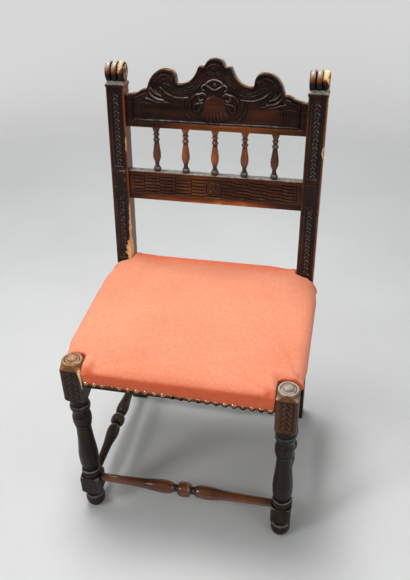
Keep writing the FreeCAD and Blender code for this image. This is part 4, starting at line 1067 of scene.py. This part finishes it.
def vectors(data, key):
    """All vectors of one kind of a mesh's points."""
    values = np.zeros(len(data) * 3, np.float32)
    data.foreach_get(key, values)
    return values.reshape(-1, 3).astype(float)


def points_of(piece):
    return vectors(piece.data.vertices, "co") / MM


def set_points(piece, points):
    piece.data.vertices.foreach_set("co", (points * MM).astype(np.float32).ravel())
    piece.data.update()


def notch_gap(x, y, leg, post):
    """Distance in plan to the nearest leg or post, each given by the corner that faces inwards."""
    return np.minimum(np.hypot(np.maximum(leg[0] - np.abs(x), 0), np.maximum(y - leg[1], 0)),
                      np.hypot(np.maximum(post[0] - np.abs(x), 0), np.maximum(post[1] - y, 0)))


def hold_seat(points):
    """How firmly each point is held: 1 at the nailed bands and round legs and posts, 0 on the top."""
    x, y, z = points.T
    near = notch_gap(x, y, HELD_LEG, HELD_POST)
    return np.maximum(np.clip((440 - z) / 10, 0, 1), np.clip((14 - near) / 9, 0, 1))


def puff(pad):
    """Blow the pad up as cloth with its bands held, and cap how far a point may move."""
    rest = points_of(pad)
    hold = hold_seat(rest)
    set_points(pad, rest - 3.0 * (1 - hold)[:, None] * vectors(pad.data.vertices, "normal"))
    add_group(pad, "held", hold)
    cloth = pad.modifiers.new("cloth", "CLOTH")
    cloth.settings.use_pressure = True
    cloth.settings.uniform_pressure_force = 4.0
    cloth.settings.effector_weights.gravity = 0.0
    cloth.settings.vertex_group_mass = "held"
    cloth.settings.pin_stiffness = 4.0
    cloth.settings.tension_stiffness = cloth.settings.compression_stiffness = 30
    cloth.settings.bending_stiffness = 2.0
    scene = bpy.context.scene
    for k in range(1, 21):
        scene.frame_set(k)
    seen = pad.evaluated_get(bpy.context.evaluated_depsgraph_get())
    step = vectors(seen.data.vertices, "co") / MM - rest
    pad.modifiers.remove(cloth)
    scene.frame_set(1)
    far = np.linalg.norm(step, axis=1)
    step *= np.minimum(1, 5.0 / np.maximum(far, 1e-6))[:, None]
    set_points(pad, rest + step * (1 - hold)[:, None])


def open_underside(mesh):
    """Take away the faces that look down between the rails."""
    bm = bmesh.new()
    bm.from_mesh(mesh)
    gone = [f for f in bm.faces if f.calc_center_median().z < 415 * MM and f.normal.z < -0.3]
    bmesh.ops.delete(bm, geom=gone, context="FACES")
    bm.to_mesh(mesh)
    bm.free()


def bulge_sides(x, y, z):
    """The left side bulges more than the right one; the band stays behind the nails."""
    free = np.clip((z - 432) / 12, 0, 1) * np.clip((486 - z) / 16, 0, 1)
    free = free * np.clip((y + 205) / 60, 0, 1) * np.clip((160 - y) / 60, 0, 1)
    left, right = np.clip((-x - 190) / 50, 0, 1), np.clip((x - 190) / 50, 0, 1)
    return x - BULGE_LEFT * free * left + BULGE_RIGHT * free * right


def raise_filling(x, y, z):
    """The filling is pushed up towards the back."""
    steep = np.interp(y, [20, 120, 150, 160, 180, 186, 200], [0, 1.6, 3.2, 5.0, 14.2, 15.6, 15.4])
    slow = np.interp(y, [20, 80, 130, 165, 200], [0, 4, 9.5, 13.5, 13])
    rise = steep + (slow - steep) * np.clip((np.abs(x) - 160) / 40, 0, 1)
    share = np.interp(x, [-252, -212, -196, -150, 140, 190, 250], [0.1, 0.6, 1.2, 1, 1, 0.7, 0.1])
    return z + np.clip((z - 440) / 24, 0, 1) * rise * share


def fill_corners(x, y, z):
    """The filling sits tight against legs and posts, and low against the shorter right leg."""
    beside = notch_gap(x, y, (LEG_INNER, LEG_BACK), (INNER, POST_FACE))
    full = 467.5 + 6 * (1 - np.exp(-beside / 6)) + (5 + 5 * (x < 0)) * (y > 100)
    rim = np.minimum(np.minimum(SLACK - np.abs(x), y + 246), 196 - y)
    full = z + (full - z) * np.clip((rim - 3) / 20, 0, 1)**0.7
    near = np.clip((30 - beside) / 14, 0, 1)
    rise = np.maximum(full - z, 0) * near * near * (3 - 2 * near)
    z = np.where((z > UP) & (beside > 1.2), z + rise, z)
    lid = 463.0 + 12.0 * (1 - np.exp(-beside / 8))
    return np.where((z > UP) & (beside < 30) & (y < 0) & (x > 0), np.minimum(z, lid), z)


def finish_seat(pad):
    """Open the underside, shape the filling, draw the cloth in at each nail and thicken the skin."""
    open_underside(pad.data)
    x, y, z = points_of(pad).T
    drop = np.where(y < -235, 1.2 - FRONT_SLOPE * x, 0)
    z = z + drop * np.clip((430 - z) / 14, 0, 1)
    z = np.where(z < 416 + drop, BAND_LOW + 0.2 + drop, z)
    x = bulge_sides(x, y, z)
    z = fill_corners(x, y, raise_filling(x, y, z))
    y = np.clip(y, -246.6 - 2.2 * np.clip((z - 428) / 12, 0, 1), 199.0)
    for nail_x in NAIL_X:
        pull = np.exp(-((x - nail_x) / 4.5)**2 - ((z - 426 + FRONT_SLOPE * x) / 7)**2) * (y < -240)
        y = y + 0.9 * pull
    set_points(pad, np.stack([x, y, z], 1))
    # painted shade in the hollow before the back roll, and a darker band between the nails of the front row
    hollow = np.interp(y, [135, 160, 176, 186], [0, 0.5, 1, 0]) * np.clip((218 - np.abs(x)) / 16, 0, 1)
    add_mark(pad.data, "deep", 0.75 * hollow * (z > UP))
    add_mark(pad.data, "nail_band", 0.85 * np.clip((422.5 - FRONT_SLOPE * x - z) / 3, 0, 1) * (y < -235))
    fine = pad.modifiers.new("fine", "SUBSURF")
    fine.levels = fine.render_levels = 1
    choose(pad)
    bpy.ops.object.modifier_apply(modifier=fine.name)
    thicken(pad, SKIN, -1.0)
    pad.data.materials.clear()
    pad.data.materials.append(seat_cloth)
    pad.data.shade_smooth()


# nails: (height over the cloth, radius) of a squashed cap with a thin rim

NAIL_RINGS = [(0.0, 6.3), (0.35, 6.6), (0.8, 6.35), (1.6, 5.5), (2.3, 4.3), (2.8, 3.0), (3.1, 1.6),
              (3.2, 0.2)]
PER_NAIL = 20


def nail_row(name, places, out, node):
    """Dome-headed nails, each turned and dented a little."""
    theta = np.linspace(0, math.tau, PER_NAIL, endpoint=False)[None, :]
    up = np.array([0, 0, 1.0])
    out = np.array(out, float)
    side = np.cross(up, out)
    high, wide = np.array(NAIL_RINGS).T[:, :, None]
    points, faces, wear = [], [], []
    for spot in places:
        tilt = rng.normal(0, 0.04, 2)
        r = wide * (1 + 0.02 * np.sin(3 * theta + rng.uniform(0, 6)))
        u, v = r * np.cos(theta), r * np.sin(theta)
        h = np.clip(high + (tilt[0] * u + tilt[1] * v) * (high > 0.2), 0, 3.2)
        grid = np.array(spot) + u[..., None] * side + v[..., None] * up + h[..., None] * out
        start = len(points) * len(NAIL_RINGS) * PER_NAIL
        faces += tube_faces(len(NAIL_RINGS), PER_NAIL, start, flipped=True)
        points.append(grid.reshape(-1, 3))
        tone = rng.normal(0, 0.08)
        wear.append(np.repeat(np.linspace(-0.15, 0.25, len(NAIL_RINGS)) + tone, PER_NAIL))
    made = make(name, np.concatenate(points), faces, {"wear": np.concatenate(wear)}, nail_brass)
    return place(made, "nail_brass", node)


# webs and sacking under the filling, in millimetres

WEB_LOW, WEB_WIDE, WEB_THICK = 449.05, 50.0, 1.6
WEB_MID = (-244.5 + 192.004) / 2
WEB_SHARES = (-0.27, 0.0, 0.27)
WEB_X, WEB_Y = [share * 416.0 for share in WEB_SHARES], [share * 354.5 for share in WEB_SHARES]
SACK_X, SACK_FRONT, SACK_BACK, SACK_Z = 240.0, -234.5, 182.0, 452.45


def web_lift(along, crossings, over):
    """Height of a web along its length, stepping up where it rides over another one."""
    z = np.full(along.shape, WEB_LOW)
    for spot, rides in zip(crossings, over):
        if rides:
            rise = np.clip((37.5 - np.abs(along - spot)) / 12.5, 0, 1)
            z = np.maximum(z, WEB_LOW + WEB_THICK * rise * rise * (3 - 2 * rise))
    return z


def ribbon(centre, axis, reach, crossings, over):
    """Rings of points of a woven strap that runs along x or y."""
    A, B = np.meshgrid(np.linspace(-reach, reach, 120), np.linspace(-WEB_WIDE / 2, WEB_WIDE / 2, 14),
                       indexing="ij")
    B = B + 0.35 * np.sin(A / 11)
    Z = web_lift(A, crossings, over) + 0.12 * np.sin(B / 1.6)
    x, y = (A, B) if axis == "x" else (B, A)
    top = np.stack([x + centre[0], y + centre[1], Z + WEB_THICK], -1)
    low = np.stack([x + centre[0], y + centre[1], Z], -1)[:, ::-1]
    return np.concatenate([top, low], 1)


def webs(label, axis, centres, reach, crossings, first_over):
    """Three webs that run one way, interlaced with those that run the other way."""
    points, faces = [], []
    for k, centre in enumerate(centres):
        over = [(j % 2 == 0) == ((k % 2 == 0) == first_over) for j in range(3)]
        grid = ribbon(centre, axis, reach, crossings, over)
        rows, cols = grid.shape[:2]
        faces += tube_faces(rows, cols, k * rows * cols)
        points.append(grid.reshape(-1, 3))
    made = make("webs_" + label, np.concatenate(points), faces, material=jute)
    return place(made, "jute", "webbing_" + label)


def sack():
    """Sacking stretched over the webs, cut away at the four corners."""
    xs, ys = np.linspace(-SACK_X, SACK_X, 97), np.linspace(SACK_FRONT, SACK_BACK, 85)
    X, Y = np.meshgrid(xs, ys, indexing="ij")
    Z = SACK_Z + 0.12 * np.sin(X / 9) * np.sin(Y / 8)
    CX, CY = np.meshgrid((xs[:-1] + xs[1:]) / 2, (ys[:-1] + ys[1:]) / 2, indexing="ij")
    keep = ~((np.abs(CX) > 205.5) & ((CY < -197.5) | (CY > 150.5)))
    quads = [quad for quad, kept in zip(grid_quads(*X.shape), keep.ravel()) if kept]
    cloth = make("sacking_sheet", np.stack([X, Y, Z], -1), quads, material=sacking)
    choose(cloth)
    bpy.ops.object.mode_set(mode="EDIT")
    bpy.ops.mesh.delete_loose()
    bpy.ops.object.mode_set(mode="OBJECT")
    thicken(cloth, 0.0007, 0)
    place(cloth, "jute", "hessian")
    return cloth


# put the chair together

for side, sign in (("left", -1), ("right", 1)):
    front_leg(side, sign)
    rear_post(side, sign)
crest()
lower_rail()
for number in range(1, 6):
    spindle(number)
# the front stretcher has painted shade along its lower side
stretcher("front", turned_x, 0.45, -LEG_INNER, LEG_INNER, shade_below=0.5)
stretcher("back", turned_x, 0.05, -INNER, INNER)
for side in ("left", "right"):
    stretcher(side, wood_y, 0.03, LEG_BACK, POST_FACE)

cushion = seat()
puff(cushion)
finish_seat(cushion)
place(cushion, "seat_cloth", "seat_cover", "seat_stuffing")

front_spots = [(x, -246.5, 418.0 - FRONT_SLOPE * x) for x in NAIL_X]
nail_row("nails_front_row", front_spots, (0, -1, 0), "nails_front")
nail_row("nails_back_row", [(x, 194.004, 420.5) for x in NAIL_X], (0, 1, 0), "nails_back")
side_y = (LEG_BACK + POST_FACE) / 2 + (np.arange(19) - 9) * NAIL_PITCH
nail_row("nails_left_row", [(-252, y, 420.5) for y in side_y], (-1, 0, 0), "nails_left")
nail_row("nails_right_row", [(252, y, 420.5) for y in side_y], (1, 0, 0), "nails_right")
webs("lengthwise", "y", [(x, WEB_MID) for x in WEB_X], 206.0, WEB_Y, True)
webs("crosswise", "x", [(0, WEB_MID + y) for y in WEB_Y], 238.0, WEB_X, False)
sack()

for name, piece in nodes.items():
    if name.startswith(("seat_rail", "corner_block")):
        piece.data.materials.clear()
        piece.data.materials.append(plain_x if name.endswith(("front", "back")) else plain_y)


# floor, light and camera, in metres

BACKGROUND = "d6d7d6"
FLOOR_HALF, BOW_RADIUS, BOW_START, BACKDROP_HIGH = 12.0, 1.2, 2.2, 5.0


def floor_material():
    """Pale floor that fades into the background far from the chair, for the camera only."""
    material, tree, shader = shader_of("studio_floor")
    spot = object_place(tree)
    cloud = noise(tree, spot, 1.5, 3.0)
    tree.links.new(ramp(tree, cloud, [(0.3, "c9cac9"), (0.7, "d2d3d2")]), shader.inputs["Base Color"])
    shader.inputs["Roughness"].default_value = 0.8
    far = add(tree, "ShaderNodeVectorMath", {0: spot}, operation="LENGTH").outputs["Value"]
    fade = add(tree, "ShaderNodeMapRange", {"Value": far, "From Min": 1.4, "From Max": 3.4},
               interpolation_type="SMOOTHSTEP").outputs["Result"]
    fade = calc(tree, "MULTIPLY", fade, camera_ray(tree))
    pale = add(tree, "ShaderNodeEmission", {"Color": rgb(BACKGROUND)}).outputs[0]
    both = add(tree, "ShaderNodeMixShader", {0: fade, 1: shader.outputs[0], 2: pale}).outputs[0]
    tree.links.new(both, tree.nodes["Material Output"].inputs["Surface"])
    return material


def stage():
    """A floor that bows up into a backdrop behind the chair."""
    bow = [(-FLOOR_HALF, 0.0)]
    for a in np.linspace(0, math.pi / 2, 24):
        bow.append((BOW_START + BOW_RADIUS * math.sin(a), BOW_RADIUS * (1 - math.cos(a))))
    bow.append((BOW_START + BOW_RADIUS, BACKDROP_HIGH))
    xs = np.linspace(-FLOOR_HALF, FLOOR_HALF, 25)
    grid = np.array([[(x, y, z) for x in xs] for y, z in bow]) / MM
    floor = make("floor", grid, grid_quads(len(bow), len(xs)), {}, floor_material())


def lamp(name, spot, power, size):
    """A soft square lamp that looks at the middle of the chair."""
    light = bpy.data.lights.new(name, "AREA")
    light.shape, light.size, light.energy = "SQUARE", size, power
    holder = bpy.data.objects.new(name, light)
    bpy.context.scene.collection.objects.link(holder)
    holder.location = spot
    holder.rotation_euler = (Vector((0, 0, 0.5)) - Vector(spot)).to_track_quat("-Z", "Y").to_euler()


def sky():
    """Weak cool light from all round, behind a pale background for the camera."""
    world = bpy.data.worlds.new("studio")
    world.use_nodes = True
    tree = world.node_tree
    light = tree.nodes["Background"]
    light.inputs["Color"].default_value = (0.9, 0.92, 0.95, 1)
    light.inputs["Strength"].default_value = 0.26
    seen = add(tree, "ShaderNodeBackground", {"Color": rgb(BACKGROUND), "Strength": 1.0}).outputs[0]
    both = add(tree, "ShaderNodeMixShader", {0: camera_ray(tree), 1: light.outputs[0], 2: seen}).outputs[0]
    tree.links.new(both, tree.nodes["World Output"].inputs["Surface"])
    bpy.context.scene.world = world


def photo_camera():
    """The camera that was fitted to the photo."""
    data = bpy.data.cameras.new("camera")
    camera = bpy.data.objects.new("camera", data)
    bpy.context.scene.collection.objects.link(camera)
    data.sensor_fit, data.sensor_height, data.lens, data.clip_end = "VERTICAL", 36.0, 43.17, 50
    turn = (Matrix.Rotation(math.radians(12.7405), 4, "Z") @ Matrix.Rotation(math.radians(54.828), 4, "X")
            @ Matrix.Rotation(math.radians(-1.6486), 4, "Z"))
    camera.matrix_world = Matrix.Translation((0.30053, -1.26977, 1.44291)) @ turn
    bpy.context.scene.camera = camera
    bpy.context.scene.view_settings.view_transform = "Standard"


stage()
lamp("key", (-0.4, 0.4, 3.1), 82, 1.2)
lamp("fill", (2.4, -2.0, 2.0), 22, 2.2)
lamp("side", (-1.9, -2.0, 2.3), 29, 0.7)
sky()
photo_camera()
